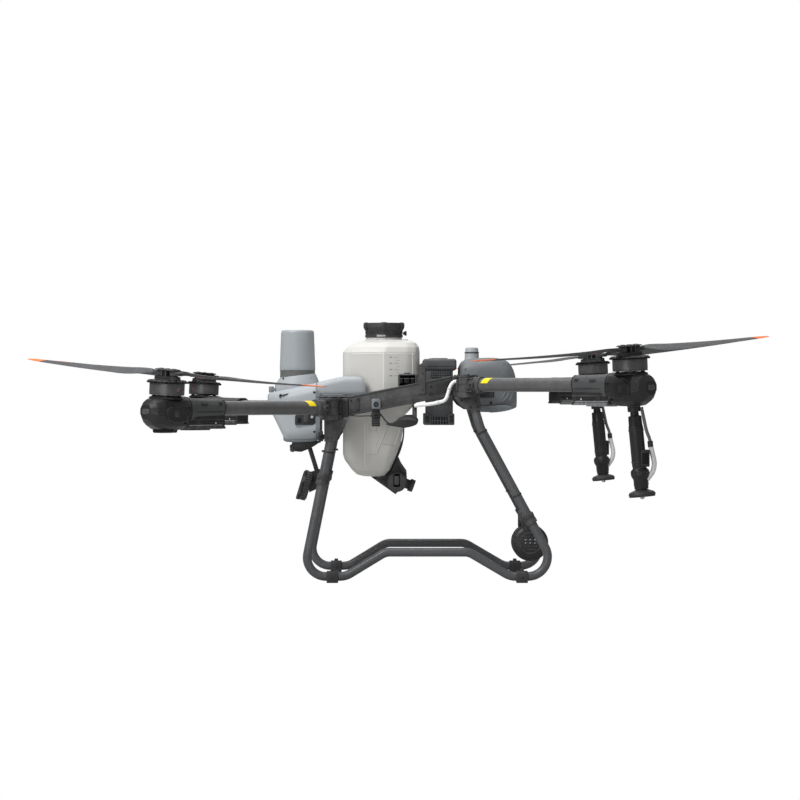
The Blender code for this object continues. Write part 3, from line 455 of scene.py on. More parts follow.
def sticker(x0, x1, a0, a1, slant, r):
    """A slanted patch bent over a tube along x; angles in degrees from the top."""
    rings = []
    for i in range(9):
        a = math.radians(a0 + (a1 - a0) * i / 8)
        shift = slant * i / 8
        rings.append([(x0 + shift, r * math.sin(a), r * math.cos(a)), (x1 + shift, r * math.sin(a), r * math.cos(a)),
                      (x1 + shift, (r - 0.0004) * math.sin(a), (r - 0.0004) * math.cos(a)), (x0 + shift, (r - 0.0004) * math.sin(a), (r - 0.0004) * math.cos(a))])
    return from_rings(rings)


def tube_items(code):
    along = aim((0, 0, 0), (1, 0, 0))
    items = [(lathe([(0.0187, 0.0305), (0.0200, 0.0305), (TUBE_R, 0.0310), (TUBE_R, 0.4690), (0.0200, 0.4695), (0.0187, 0.4695)], 96, along, ring=True), "carbon")]
    items.append((sticker(0.083, 0.110, 2, 76, -0.0095, TUBE_R + 0.0004), "yellow"))
    return items


POD = ((0.4285, 0.0265, -0.0290, 0.0262), (0.4360, 0.0275, -0.0310, 0.0272), (0.5380, 0.0300, -0.0360, 0.0292), (0.5640, 0.0370, -0.0470, 0.0318), (0.5760, 0.0470, -0.0560, 0.0345),
       (0.6000, 0.0530, -0.0610, 0.0345), (0.6360, 0.0550, -0.0620, 0.0345), (0.6640, 0.0500, -0.0580, 0.0330), (0.6860, 0.0385, -0.0470, 0.0250), (0.7010, 0.0240, -0.0300, 0.0110))


def pod_ring(x, w, low, high, out=0.0):
    mid = (low + high) / 2 + 0.004
    up, down = high - mid, mid - low
    pts = []
    for a, z in ((1.0, mid - 0.30 * down), (1.0, mid + 0.30 * up), (0.80, mid + 0.74 * up), (0.46, high), (-0.46, high), (-0.80, mid + 0.74 * up), (-1.0, mid + 0.30 * up),
                 (-1.0, mid - 0.30 * down), (-0.78, mid - 0.76 * down), (-0.42, low), (0.42, low), (0.78, mid - 0.76 * down)):
        pts.append((x, (w + out) * a, z + (out if z > mid else -out)))
    return pts


def pod_items(rear):
    lean = Matrix.Translation((ARM_LENGTH, 0, 0)) @ Matrix.Rotation(math.radians(-CANT), 4, "X")
    items = [(soft_edges(from_rings([pod_ring(*row) for row in POD[3:]]), 0.0013, 9.0, 2), "pod"),
             (soft_edges(from_rings([pod_ring(*row) for row in POD[:4]]), 0.0013, 9.0, 2), "esc")]
    # seams: ball to housing, housing end, and the parting line of the ball's two halves
    for rows in (((0.5595, 0.0358, -0.0452, 0.0314), (0.5645, 0.0374, -0.0474, 0.0322)), ((0.4285, 0.0265, -0.0290, 0.0262), (0.4335, 0.0272, -0.0304, 0.0270))):
        items.append((soft_edges(from_rings([pod_ring(x, w, low, high, 0.0010) for x, w, low, high in rows]), 0.0005, 20), "trim"))
    for s in (-1, 1):
        line = [(x, s * (w + 0.0001), -0.0150 if x > 0.575 else -0.0120) for x, w, _, _ in ring_interp(POD[3:], 4)]
        items.append((tube(line, 0.0007, 8), "trim"))
    # top pad under the motor
    items.append((lathe([(0, 0.0290), (0.0500, 0.0290), (0.0500, 0.0318), (0.0460, 0.0340), (0, 0.0340)], 10, lean), "pod"))
    items.append((lathe([(0.0380, 0.0335), (0.0430, 0.0335), (0.0430, 0.0352), (0.0380, 0.0352)], 56, lean, ring=True), "trim"))
    # tray under the speed controller: ribbed flank, slot, cooling comb, end prong
    items.append((box(0.4300, 0.5660, -0.0250, 0.0250, -0.0500, -0.0220, 0.0020), "pod"))
    items.append((box(0.4340, 0.5640, -0.0235, 0.0235, -0.0570, -0.0490, 0.0014), "cast"))
    for k in range(26):
        x = 0.4360 + 0.0048 * k
        deep = -0.0625 if k > 9 else -0.0590
        items.append((box(x, x + 0.0026, -0.0225 if not rear else -0.0252, 0.0225 if not rear else 0.0252, deep, -0.0560 if not rear else -0.0510, 0.0005, segments=1), "cast" if not rear else "comb"))
    for s in (-1, 1):
        items.append((box(0.4320, 0.5640, *sorted((s * 0.0244, s * 0.0262)), -0.0335, -0.0310, 0.0006), "cast"))
        items.append((box(0.4320, 0.5640, *sorted((s * 0.0244, s * 0.0258)), -0.0490, -0.0470, 0.0006), "comb"))
        for k in range(24):
            x = 0.4400 + 0.0050 * k
            items.append((box(x, x + 0.0022, *sorted((s * 0.0246, s * 0.0258)), -0.0470, -0.0350, 0.0004, segments=1), "pod"))
        items.append((box(0.5230, 0.5360, *sorted((s * 0.0246, s * 0.0266)), -0.0450, -0.0350, 0.0006), "trim"))
        items.append((bolt((0.4660, s * 0.0256, -0.0420), (0, s, 0), 0.0024, 0.0014), "spot"))
        items.append((prism([(0.4420, -0.0400), (0.4290, -0.0540), (0.4290, -0.0585), (0.4350, -0.0585), (0.4480, -0.0420)], "y", *sorted((s * 0.0190, s * 0.0262)), 0.0012), "trim"))
        # housing flank: two windows and a strip
        items.append((box(0.4980, 0.5220, *sorted((s * 0.0265, s * 0.0304)), 0.0060, 0.0150, 0.0010), "trim"))
        items.append((box(0.4420, 0.4560, *sorted((s * 0.0255, s * 0.0288)), 0.0080, 0.0170, 0.0010), "trim"))
        items.append((box(0.4400, 0.5550, *sorted((s * 0.0270, s * 0.0306)), -0.0120, -0.0095, 0.0006), "trim"))
        # ball flank: raised facets, blank grille square, dark screws
        items.append((prism([(0.5980, -0.0370), (0.5940, -0.0080), (0.6120, 0.0050), (0.6500, 0.0060), (0.6660, -0.0040), (0.6620, -0.0300), (0.6360, -0.0400)], "y", *sorted((s * 0.0480, s * 0.0556)), 0.0014), "pod"))
        for i in range(4):
            for j in range(4):
                items.append((box(0.6250 + 0.0034 * i, 0.6274 + 0.0034 * i, *sorted((s * 0.0545, s * 0.0563)), -0.0240 + 0.0034 * j, -0.0216 + 0.0034 * j, 0.0003, segments=1), "cast"))
        items.append((box(0.6240, 0.6380, *sorted((s * 0.0548, s * 0.0560)), -0.0080, -0.0062, 0.0003, segments=1), "cast"))
        items.append((box(0.5900, 0.6260, *sorted((s * 0.0500, s * 0.0552)), -0.0385, -0.0365, 0.0005), "cast"))
        items.append((bolt((0.5800, s * 0.0478, 0.0020), (-0.35, s, 0.0), 0.0038, 0.0016), "black"))
        items.append((bolt((0.5900, s * 0.0435, -0.0420), (-0.2, s, -0.5), 0.0052, 0.0014), "black"))
        items.append((bolt((0.6850, s * 0.0395, -0.0040), (0.7, s, 0.0), 0.0024, 0.0010), "dark_bolt"))
    # status lamp strip at the tip
    lamp = [(0.6990, 0.0180, -0.0170, 0.0010), (0.7016, 0.0150, -0.0150, -0.0010), (0.7030, 0.0100, -0.0120, -0.0040)]
    items.append((soft_edges(from_rings([rounded(w, low, high, 0.006, x, 5) for x, w, low, high in lamp]), 0.0004, 40), "lamp"))
    if rear:
        items.append((lathe([(0, 0), (0.0190, 0), (0.0175, -0.0090), (0.0150, -0.0105), (0, -0.0105)], 40, Matrix.Translation((0.636, 0, -0.0550))), "trim"))
    else:
        items.append((prism([(0.026, -0.05), (0.026, -0.0650), (0.021, -0.0690), (-0.021, -0.0690), (-0.026, -0.0650), (-0.026, -0.05)], "x", 0.618, 0.656, 0.0022), "black"))
        items.append((prism([(0.5960, -0.0480), (0.6010, -0.0680), (0.6090, -0.0690), (0.6150, -0.0600), (0.6130, -0.0480)], "y", -0.018, 0.018, 0.0014), "trim"))
    return items


def stator_items():
    items = []
    for k in range(4):
        a = math.radians(45 + 90 * k)
        items.append((rod((0.036 * math.cos(a), 0.036 * math.sin(a), 0.0338), (0.036 * math.cos(a), 0.036 * math.sin(a), 0.0470), 0.0055, n=24, soften=0.0006), "trim"))
    items.append((lathe([(0, 0.0338), (0.0150, 0.0338), (0.0150, 0.0470), (0, 0.0470)], 40, soften=0.0005), "steel"))
    items.append((lathe([(0.0070, 0.0448), (0.0400, 0.0448), (0.0400, 0.0650), (0.0070, 0.0650)], 48, ring=True), "steel"))
    for k in range(24):
        m = Matrix.Rotation(math.radians(15 * k), 4, "Z")
        items.append((box(0.0290, 0.0412, -0.0030, 0.0030, 0.0446, 0.0654, 0.0012, m, 1), "copper"))
        items.append((box(0.0405, 0.0445, -0.0046, 0.0046, 0.0470, 0.0640, 0.0004, m, 1), "steel"))
    return items


def bell_items(marks):
    items = [(lathe([(0, 0.0502), (0.0050, 0.0502), (0.0056, 0.0510), (0.0056, 0.0668), (0.0462, 0.0668), (0.0462, 0.0396), (0.0468, 0.0390), (0.0492, 0.0390), (BELL_R, 0.0399),
                     (BELL_R, 0.0425), (0.0494, 0.0430), (0.0494, 0.0440), (BELL_R, 0.0445), (BELL_R, 0.0700), (0.0496, 0.0706), (0.0496, 0.0716),
                     (0.0530, 0.0724), (0.0530, 0.0790), (0.0300, 0.0812), (0.0220, 0.0815), (0, 0.0815)], 96), "bell")]
    # toothed fan rim
    rim = []
    teeth = 48
    for k in range(teeth * 4):
        a = 2 * math.pi * k / (teeth * 4)
        r = FAN_R if k % 4 in (0, 1) else FAN_R - 0.0030
        rim.append((r * math.cos(a), r * math.sin(a)))
    items.append((prism(rim, "z", 0.0728, 0.0772), "black"))
    items.append((lathe([(0.0300, 0.0768), (0.0560, 0.0768), (0.0560, 0.0785), (0.0300, 0.0806)], 72, ring=True), "trim"))
    for k in range(18):
        m = Matrix.Rotation(math.radians(20 * k + 10), 4, "Z")
        items.append((box(0.0260, 0.0545, -0.0014, 0.0014, 0.0775, 0.0812, 0.0006, m, 1), "cast"))
    # one small ring mark on either side of the bell
    for a in (90, -90) if marks else ():
        m = Matrix.Rotation(math.radians(a), 4, "Z")
        loop = [(0.0501, 0.0036 * math.cos(t), 0.0560 + 0.0046 * math.sin(t)) for t in (2 * math.pi * q / 28 for q in range(29))]
        ring = tube(loop, 0.0008, 8)
        ring.transform(m)
        items.append((ring, "red"))
    return items


def stadium(long, wide, n=14):
    points = []
    for centre, start in ((long - wide, 0), (-(long - wide), 180)):
        for k in range(n + 1):
            a = math.radians(start + 180 * k / n)
            points.append((wide * math.cos(a), centre + wide * math.sin(a)))
    return points


def clamp_items():
    items = [
        (prism(stadium(0.0480, 0.0205), "z", 0.0822, 0.0850, 0.0006), "cast"),
        (prism(stadium(0.0470, 0.0192), "z", 0.0850, 0.0918, 0.0014), "trim"),
        (prism(stadium(0.0465, 0.0195), "z", 0.1088, 0.1112, 0.0007), "cast"),
        (prism(stadium(0.0440, 0.0165), "z", 0.1108, 0.1124, 0.0006), "cast"),
        (box(-0.0105, 0.0105, -0.0110, 0.0110, 0.0910, 0.1100, 0.0010), "trim"),
        (lathe([(0, 0.1118), (0.0070, 0.1118), (0.0070, 0.1132), (0.0056, 0.1142), (0.0026, 0.1142), (0.0024, 0.1130), (0, 0.1130)], 28), "dark_bolt"),
    ]
    for s in (1, -1):
        items.append((rod((0, s * BLADE_PIN, 0.0915), (0, s * BLADE_PIN, 0.1112), 0.0042, n=28), "dark_bolt"))
        items.append((lathe([(0, 0.1118), (0.0078, 0.1118), (0.0078, 0.1132), (0.0060, 0.1142), (0.0032, 0.1142), (0.0030, 0.1130), (0, 0.1130)], 30, Matrix.Translation((0, s * BLADE_PIN, 0))), "trim"))
        for t in (1, -1):
            items.append((bolt((t * 0.0130, s * 0.0140, 0.1110), (0, 0, 1), 0.0026, 0.0016), "screw"))
            items.append((rod((t * 0.0145, s * 0.0095, 0.0915), (t * 0.0145, s * 0.0095, 0.1092), 0.0024, n=16), "cast"))
    return items


BLADE_SPAN = 0.6245
BLADE_STATIONS = ((0.018, 0.020, 0.0125, 0), (0.036, 0.034, 0.0110, 6), (0.058, 0.060, 0.0090, 10), (0.088, 0.080, 0.0074, 11.5), (0.128, 0.0900, 0.0064, 11), (0.190, 0.0860, 0.0054, 9),
                  (0.300, 0.0700, 0.0056, 8.2), (0.420, 0.0540, 0.0050, 7.4), (0.556, 0.0360, 0.0042, 6.8), (0.606, 0.0240, 0.0034, 6.2), (BLADE_SPAN, 0.0110, 0.0024, 5))


def blade_items():
    rings = []
    for s, chord, thick, pitch in ring_interp(BLADE_STATIONS, 7):
        a, rise, shift = math.radians(pitch), 0.0052 * s - 0.0040 * math.sin(math.pi * s / BLADE_SPAN), 0.030 * chord
        loop = []
        for k in range(15):
            u = -0.5 + k / 14
            bow = math.sqrt(max(0.0, (u + 0.5))) * (0.5 - u) * 1.55
            loop.append((u, 0.62 * min(1.0, bow) ** 0.9 + 0.03))
        for k in range(13, 0, -1):
            u = -0.5 + k / 14
            bow = math.sqrt(max(0.0, (u + 0.5))) * (0.5 - u) * 1.45
            loop.append((u, -0.36 * min(1.0, bow) ** 0.9 - 0.03))
        rings.append([(-(u * chord * math.cos(a) + v * thick * math.sin(a) + shift), s, -u * chord * math.sin(a) + v * thick * math.cos(a) + rise) for u, v in loop])
    body = from_rings(rings)
    items = [(body, "blade")]
    items.append((lathe([(0.0046, -0.0078), (0.0118, -0.0078), (0.0125, -0.0070), (0.0125, 0.0070), (0.0118, 0.0078), (0.0046, 0.0078)], 40, ring=True), "blade"))
    items.append((box(-0.0088, 0.0088, 0.0060, 0.0300, -0.0058, 0.0058, 0.0016), "blade"))
    # small red mark near the root, on the lower face
    m = Matrix.Translation((-0.0180, 0.100, -0.0062)) @ Matrix.Rotation(math.radians(-11.4), 4, "Y")
    items.append((box(-0.0060, 0.0060, -0.0090, 0.0090, -0.0004, 0.0004, 0.0002, m, 1), "red"))
    return items


def mark_span(thing, place):
    """Stores each point's distance from the blade pin, for the tip paint."""
    back = place.inverted()
    values = [(back @ v.co).y for v in thing.data.vertices]
    layer = thing.data.attributes.new("span", "FLOAT", "POINT")
    layer.data.foreach_set("value", [abs(v) for v in values])


def sprinkler_items():
    items = [(lathe([(0, 0.0000), (0.0115, 0.0000), (0.0122, 0.0008), (0.0122, 0.0070), (0.0116, 0.0076), (0.0116, 0.0100), (0.0122, 0.0106), (0.0122, 0.0176), (0.0150, 0.0190), (0.0160, 0.0205),
                     (0.0160, 0.0260), (0.0154, 0.0268), (0.0154, 0.0290), (0.0160, 0.0298), (0.0160, 0.0410), (0.0178, 0.0445), (0.0185, 0.0470), (0.0185, 0.1660), (0.0192, 0.1680), (0.0245, 0.1730), (0.0258, 0.1755),
                     (0.0262, 0.1880), (0.0254, 0.1910), (0.0215, 0.1985), (0.0208, 0.2010), (0.0208, 0.2180), (0.0200, 0.2200), (0.0200, 0.2262), (0.0192, 0.2270), (0, 0.2270)], 64), "pod")]
    for k in range(8):
        m = Matrix.Rotation(math.radians(45 * k), 4, "Z")
        items.append((box(0.0178, 0.0190, -0.0012, 0.0012, 0.0560, 0.1600, 0.0005, m, 1), "pod"))
        items.append((box(0.0245, 0.0266, -0.0026, 0.0026, 0.1770, 0.1870, 0.0008, m, 1), "trim"))
    for a in (0, 120, 240):
        m = Matrix.Rotation(math.radians(a), 4, "Z")
        items.append((box(0.0200, 0.0216, -0.0050, 0.0050, 0.2040, 0.2150, 0.0005, m, 1), "trim"))
    items.append((lathe([(0.0180, 0.1640), (0.0196, 0.1645), (0.0196, 0.1690), (0.0180, 0.1695)], 56, ring=True), "trim"))
    return items


def disc_items():
    items = [(lathe([(0, 0.2276), (0.0165, 0.2276), (0.0180, 0.2288), (0.0325, 0.2345), (0.0345, 0.2352), (0.0372, 0.2390), (0.0378, 0.2400), (0.0378, 0.2446), (0.0370, 0.2454), (0.0330, 0.2480),
                     (0.0200, 0.2486), (0.0060, 0.2490), (0, 0.2490)], 72), "cap"),
             (lathe([(0, 0.2486), (0.0062, 0.2488), (0.0062, 0.2530), (0.0048, 0.2552), (0.0020, 0.2560), (0, 0.2560)], 24), "screw")]
    for k in range(36):
        m = Matrix.Rotation(math.radians(10 * k), 4, "Z")
        items.append((box(0.0200, 0.0372, -0.0007, 0.0007, 0.2462, 0.2490, 0.0002, m, 1), "trim"))
        items.append((box(0.0366, 0.0384, -0.0009, 0.0009, 0.2400, 0.2446, 0.0002, m, 1), "cap"))
    return items


def build_arm(code):
    sx = -1 if code[0] == "f" else 1
    sy = -1 if code[1] == "l" else 1
    mirror = code in ("fr", "rl")
    heading = math.atan2(sy * math.sin(math.radians(ARM_ANGLE)), sx * math.cos(math.radians(ARM_ANGLE)))
    hinge = Matrix.Translation((sx * HINGE_X, sy * HINGE_Y, TUBE_Z[code[0]])) @ Matrix.Rotation(heading, 4, "Z")
    arm, rotor = "arm_" + code, "rotor_" + code
    # the sticker faces the outer side on every arm, so the tube mirrors with the arm
    piece(f"tube_skin_{code}", tube_items(code), arm, [f"arm_tube_{code}"], place=hinge, mirror=mirror)
    piece(f"knuckle_skin_{code}", knuckle_items(), arm, [f"arm_knuckle_{code}"], place=hinge, mirror=mirror)
    piece(f"pod_skin_{code}", pod_items(code[0] == "r"), arm, [f"motor_pod_{code}"], place=hinge, mirror=mirror, angle=10)
    lean = -CANT if not mirror else CANT
    spin = hinge @ Matrix.Translation((ARM_LENGTH, 0, 0)) @ Matrix.Rotation(math.radians(lean), 4, "X") @ Matrix.Rotation(math.radians(-TURN if mirror else TURN), 4, "Z")
    piece(f"stator_skin_{code}", stator_items(), arm, [f"motor_stator_{code}"], place=spin)
    piece(f"bell_skin_{code}", bell_items(code[0] == "f"), rotor, [f"motor_bell_{code}"], place=spin)
    piece(f"clamp_skin_{code}", clamp_items(), rotor, [f"blade_clamp_{code}"], place=spin)
    for letter, turn in (("a", 0.0), ("b", 180.0)):
        side = (1 if letter == "a" else -1) * (-1 if mirror else 1)
        place = spin @ Matrix.Translation((0, side * BLADE_PIN, BLADE_Z)) @ Matrix.Rotation(math.radians(turn), 4, "Z")
        thing = piece(f"blade_skin_{code}_{letter}", blade_items(), f"blade_{code}_{letter}", [f"blade_{code}_{letter}"], place=place, mirror=mirror, angle=50)
        mark_span(thing, place)
    if code[0] == "r":
        down = Vector((math.sin(math.radians(SPRAY_LEAN)), 0, -math.cos(math.radians(SPRAY_LEAN))))
        place = aim((SPRAY_TOP[0], sy * MOTOR_Y, SPRAY_TOP[1]), down)
        side = "left" if code[1] == "l" else "right"
        piece(f"sprinkler_skin_{side}", sprinkler_items(), arm, [f"sprinkler_body_{side}"], place=place)
        piece(f"spray_disc_skin_{side}", disc_items(), "spray_disc_" + side, [f"sprinkler_disc_{side}"], place=place)


for corner in ("fl", "fr", "rl", "rr"):
    build_arm(corner)


# ---- castings and beams ----------------------------------------------------------
def cad(node, key, offset=0.0010, least=30.0, segments=2):
    return (soft_edges(solid_node(node), offset, least, segments), key)


def ellipse_loop(c, rx, rz, n=28):
    return [(c[0] + rx * math.cos(2 * math.pi * k / n), c[1] + rz * math.sin(2 * math.pi * k / n)) for k in range(n)]


front, rear = [cad("front_frame", "cast")], [cad("rear_frame", "cast")]
for s in (-1, 1):
    for items, sx, z in ((front, -1, TUBE_Z["f"]), (rear, 1, TUBE_Z["r"])):
        x, y = sx * HINGE_X, s * HINGE_Y
        # pin heads, fork screws and inset panels
        items.append((lathe([(0, z + 0.0290), (0.0094, z + 0.0290), (0.0094, z + 0.0312), (0.0082, z + 0.0326), (0.0050, z + 0.0326), (0.0048, z + 0.0306), (0, z + 0.0306)], 30, Matrix.Translation((x, y, 0))), "dark_bolt"))
        items.append((lathe([(0, z - 0.0368), (0.0098, z - 0.0368), (0.0098, z - 0.0400), (0, z - 0.0400)], 6, Matrix.Translation((x, y, 0))), "dark_bolt"))
        for dx in (-0.024, 0.024):
            items.append((bolt((x + dx, s * 0.206, z + 0.0290), (0, 0, 1), 0.0040, 0.0030), "dark_bolt"))
            items.append((bolt((x + dx, s * 0.240, z + 0.0290), (0, 0, 1), 0.0030, 0.0024), "dark_bolt"))
            items.append((bolt((x + dx * 1.42, s * 0.212, z + 0.0060), (dx, 0, 0), 0.0034, 0.0024), "dark_bolt"))
        items.append((box(x - 0.030, x - 0.0235, *sorted((s * 0.205, s * 0.236)), z - 0.020, z + 0.016, 0.0020), "cast"))
        items.append((box(x + 0.0235, x + 0.030, *sorted((s * 0.205, s * 0.236)), z - 0.020, z + 0.016, 0.0020), "cast"))
        items.append((box(x - 0.0170, x + 0.0170, *sorted((s * 0.2420, s * 0.2445)), z - 0.018, z - 0.004, 0.0008), "trim"))
for s in (-1, 1):
    # leg castings: sunk panels, ribs and screws on both faces
    for dy in (-0.0186, 0.0186):
        y = s * 0.245 + dy
        lo, hi = sorted((y, y - math.copysign(0.0022, dy)))
        front.append((prism([(-0.2180, 0.4840), (-0.1690, 0.4840), (-0.1740, 0.4650), (-0.1930, 0.4380), (-0.1950, 0.4310), (-0.2170, 0.4310)], "y", lo - 0.0004, hi + 0.0004, 0.0008), "cast"))
        rear.append((prism([(0.1790, 0.5530), (0.2370, 0.5530), (0.2420, 0.5340), (0.2430, 0.5230), (0.2110, 0.5230), (0.1920, 0.5360)], "y", lo - 0.0004, hi + 0.0004, 0.0008), "cast"))
        n = (0, math.copysign(1, dy), 0)
        for p in ((-0.2130, 0.4780), (-0.1750, 0.4780), (-0.2120, 0.4360), (-0.2000, 0.4360)):
            front.append((bolt((p[0], y, p[1]), n, 0.0030, 0.0020), "dark_bolt"))
        for p in ((0.1880, 0.5480), (0.2320, 0.5480), (0.2380, 0.5280), (0.2170, 0.5280)):
            rear.append((bolt((p[0], y, p[1]), n, 0.0030, 0.0020), "dark_bolt"))
    # bracing webs and screws on the outer blocks
    front.append((box(-0.2405, -0.2370, *sorted((s * 0.166, s * 0.199)), 0.5020, 0.5480, 0.0014), "cast"))
    for z in (0.5085, 0.5420):
        front.append((bolt((-0.2412, s * 0.172, z), (-1, 0, 0), 0.0034, 0.0024), "dark_bolt"))
        front.append((bolt((-0.2412, s * 0.194, z), (-1, 0, 0), 0.0034, 0.0024), "dark_bolt"))
        rear.append((bolt((0.2442, s * 0.174, z + 0.068), (1, 0, 0), 0.0034, 0.0024), "dark_bolt"))
        rear.append((bolt((0.2442, s * 0.194, z + 0.068), (1, 0, 0), 0.0034, 0.0024), "dark_bolt"))
    for x in (-0.228, -0.205, -0.182, -0.160):
        front.append((bolt((x, s * 0.2042, 0.5430), (0, s, 0), 0.0030, 0.0020), "dark_bolt"))
        front.append((bolt((x, s * 0.182, 0.5548), (0, 0, 1), 0.0032, 0.0022), "dark_bolt"))
    for x in (0.171, 0.190, 0.214, 0.236):
        rear.append((bolt((x, s * 0.2042, 0.6120), (0, s, 0), 0.0030, 0.0020), "dark_bolt"))
        rear.append((bolt((x, s * 0.182, 0.6228), (0, 0, 1), 0.0032, 0.0022), "dark_bolt"))
for k in range(9):
    y = -0.128 + 0.032 * k
    front.append((box(-0.2390, -0.2350, y - 0.0022, y + 0.0022, 0.5060, 0.5440, 0.0010), "cast"))
    rear.append((box(0.2415, 0.2450, y - 0.0022, y + 0.0022, 0.5740, 0.6120, 0.0010), "cast"))
piece("front_frame_skin", front, "airframe", ["front_frame"])
piece("rear_frame_skin", rear, "airframe", ["rear_frame"])


def beam_items(s):
    side = "left" if s < 0 else "right"
    out = s * 0.2000
    items = [cad(f"side_beam_{side}", "cast", 0.0014)]

    def plate(points, lo, hi, key, bevel=0.0008):
        items.append((prism(points, "y", *sorted((s * lo, s * hi)), bevel), key))

    # shallow rails along the beam, so it doesn't read as one flat bar
    plate([(-0.1480, 0.5600), (0.1580, 0.6200), (0.1580, 0.6160), (-0.1480, 0.5560)], 0.1995, 0.2022, "cast")
    plate([(-0.1480, 0.5060), (0.1580, 0.5660), (0.1580, 0.5625), (-0.1480, 0.5020)], 0.1995, 0.2022, "cast")
    plate([(-0.1500, 0.5500), (-0.1180, 0.5560), (-0.1180, 0.5140), (-0.1500, 0.5080)], 0.1995, 0.2030, "cast")
    plate([(0.0900, 0.5950), (0.1560, 0.6080), (0.1560, 0.5740), (0.0900, 0.5620)], 0.1995, 0.2016, "trim")
    for x, z in ((-0.1440, 0.5470), (-0.1240, 0.5510), (-0.1440, 0.5150), (-0.1240, 0.5190), (0.0980, 0.5900), (0.1480, 0.5990), (0.0980, 0.5690), (0.1480, 0.5780)):
        items.append((bolt((x, s * 0.2028, z), (0, s, 0), 0.0032, 0.0022), "dark_bolt"))
    # slotted pad with a hole, and the webbing strap with its buckle
    # the slotted pad is in the grey shell colour darkened as painted shade
    plate([(-0.0809, 0.5220), (-0.0809, 0.5500), (-0.0780, 0.5528), (-0.0570, 0.5528), (-0.0541, 0.5500), (-0.0541, 0.5220)], 0.2000, 0.2065, "grey_painted_shade", 0.0014)
    items.append((lathe([(0.0046, 0), (0.0084, 0), (0.0084, 0.0014), (0.0046, 0.0014)], 28, aim((-0.0676, s * 0.2063, 0.5356), (0, s, 0)), ring=True), "trim"))
    items.append((bolt((-0.0676, s * 0.2055, 0.5356), (0, s, 0), 0.0046, 0.0024), "black"))
    plate([(-0.0809, 0.4690), (-0.0809, 0.5190), (-0.0559, 0.5190), (-0.0559, 0.4690)], 0.1980, 0.2035, "cable", 0.0012)
    for z in (0.4740, 0.4810, 0.4880):
        plate([(-0.0809, z), (-0.0809, z + 0.0022), (-0.0559, z + 0.0022), (-0.0559, z)], 0.2030, 0.2044, "cast", 0.0004)
    plate([(-0.0830, 0.4960), (-0.0830, 0.5090), (-0.0540, 0.5090), (-0.0540, 0.4960)], 0.2030, 0.2062, "trim", 0.0014)
    plate([(-0.0760, 0.5000), (-0.0760, 0.5050), (-0.0610, 0.5050), (-0.0610, 0.5000)], 0.2058, 0.2068, "black", 0.0006)
    items.append((tube(curve([(-0.1434, s * 0.2025, 0.5020), (-0.1200, s * 0.2040, 0.5005), (-0.0800, s * 0.2035, 0.5010)], 5), 0.0016, 10), "cable"))
    items.append((tube(curve([(-0.0600, s * 0.2030, 0.5130), (-0.0500, s * 0.2045, 0.5010), (-0.0420, s * 0.2050, 0.4900), (-0.0330, s * 0.2040, 0.4810), (-0.0250, s * 0.2020, 0.4770)], 6), 0.0021, 12), "cable"))
    # latch with its knob and windows, and the upright's screws
    items.append((box(-0.0015, 0.0528, *sorted((s * 0.1700, s * 0.1960)), 0.5900, 0.6265, 0.0024), "cast"))
    items.append((box(0.0166, 0.0347, *sorted((s * 0.1760, s * 0.1930)), 0.6240, 0.6315, 0.0020), "trim"))
    for x0, x1 in ((0.0030, 0.0130), (0.0175, 0.0330), (0.0380, 0.0480)):
        items.append((box(x0, x1, *sorted((s * 0.1950, s * 0.1966)), 0.5990, 0.6110, 0.0007), "black"))
        items.append((box(x0 - 0.0010, x1 + 0.0010, *sorted((s * 0.1950, s * 0.1976)), 0.6120, 0.6150, 0.0007), "cast"))
    for z in (0.5800, 0.6300):
        items.append((bolt((0.0725, s * 0.2042, z), (0, s, 0), 0.0026, 0.0018), "dark_bolt"))
    plate([(0.0640, 0.6480), (0.0810, 0.6480), (0.0810, 0.6560), (0.0760, 0.6600), (0.0690, 0.6600), (0.0640, 0.6560)], 0.1740, 0.2030, "cast", 0.0012)
    # curved black lever that hangs below the beam on its arm
    plate([(-0.0408, 0.4764), (-0.0300, 0.4800), (-0.0196, 0.4800), (-0.0080, 0.4860), (0.0015, 0.4960), (0.0166, 0.5005), (0.0438, 0.5011), (0.0604, 0.4915), (0.0590, 0.4810),
           (0.0540, 0.4740), (0.0408, 0.4688), (0.0280, 0.4660), (0.0166, 0.4643), (-0.0106, 0.4688), (-0.0300, 0.4720)], 0.1940, 0.2060, "trim", 0.0020)
    plate([(0.0020, 0.4900), (0.0180, 0.4955), (0.0420, 0.4960), (0.0540, 0.4895), (0.0500, 0.4850), (0.0380, 0.4880), (0.0180, 0.4870)], 0.2055, 0.2070, "cast", 0.0006)
    plate([(0.0438, 0.4960), (0.0438, 0.5320), (0.0559, 0.5340), (0.0559, 0.4960)], 0.1960, 0.2050, "cast", 0.0016)
    items.append((rod((0.0500, s * 0.2040, 0.5200), (0.0500, s * 0.2090, 0.5200), 0.0044, n=24, soften=0.0006), "dark_bolt"))
    items.append((bolt((-0.0250, s * 0.2055, 0.4765), (0, s, 0), 0.0026, 0.0018), "dark_bolt"))
    return items


for side, s in (("left", -1), ("right", 1)):
    piece(f"side_beam_skin_{side}", beam_items(s), "airframe", [f"side_beam_{side}"])

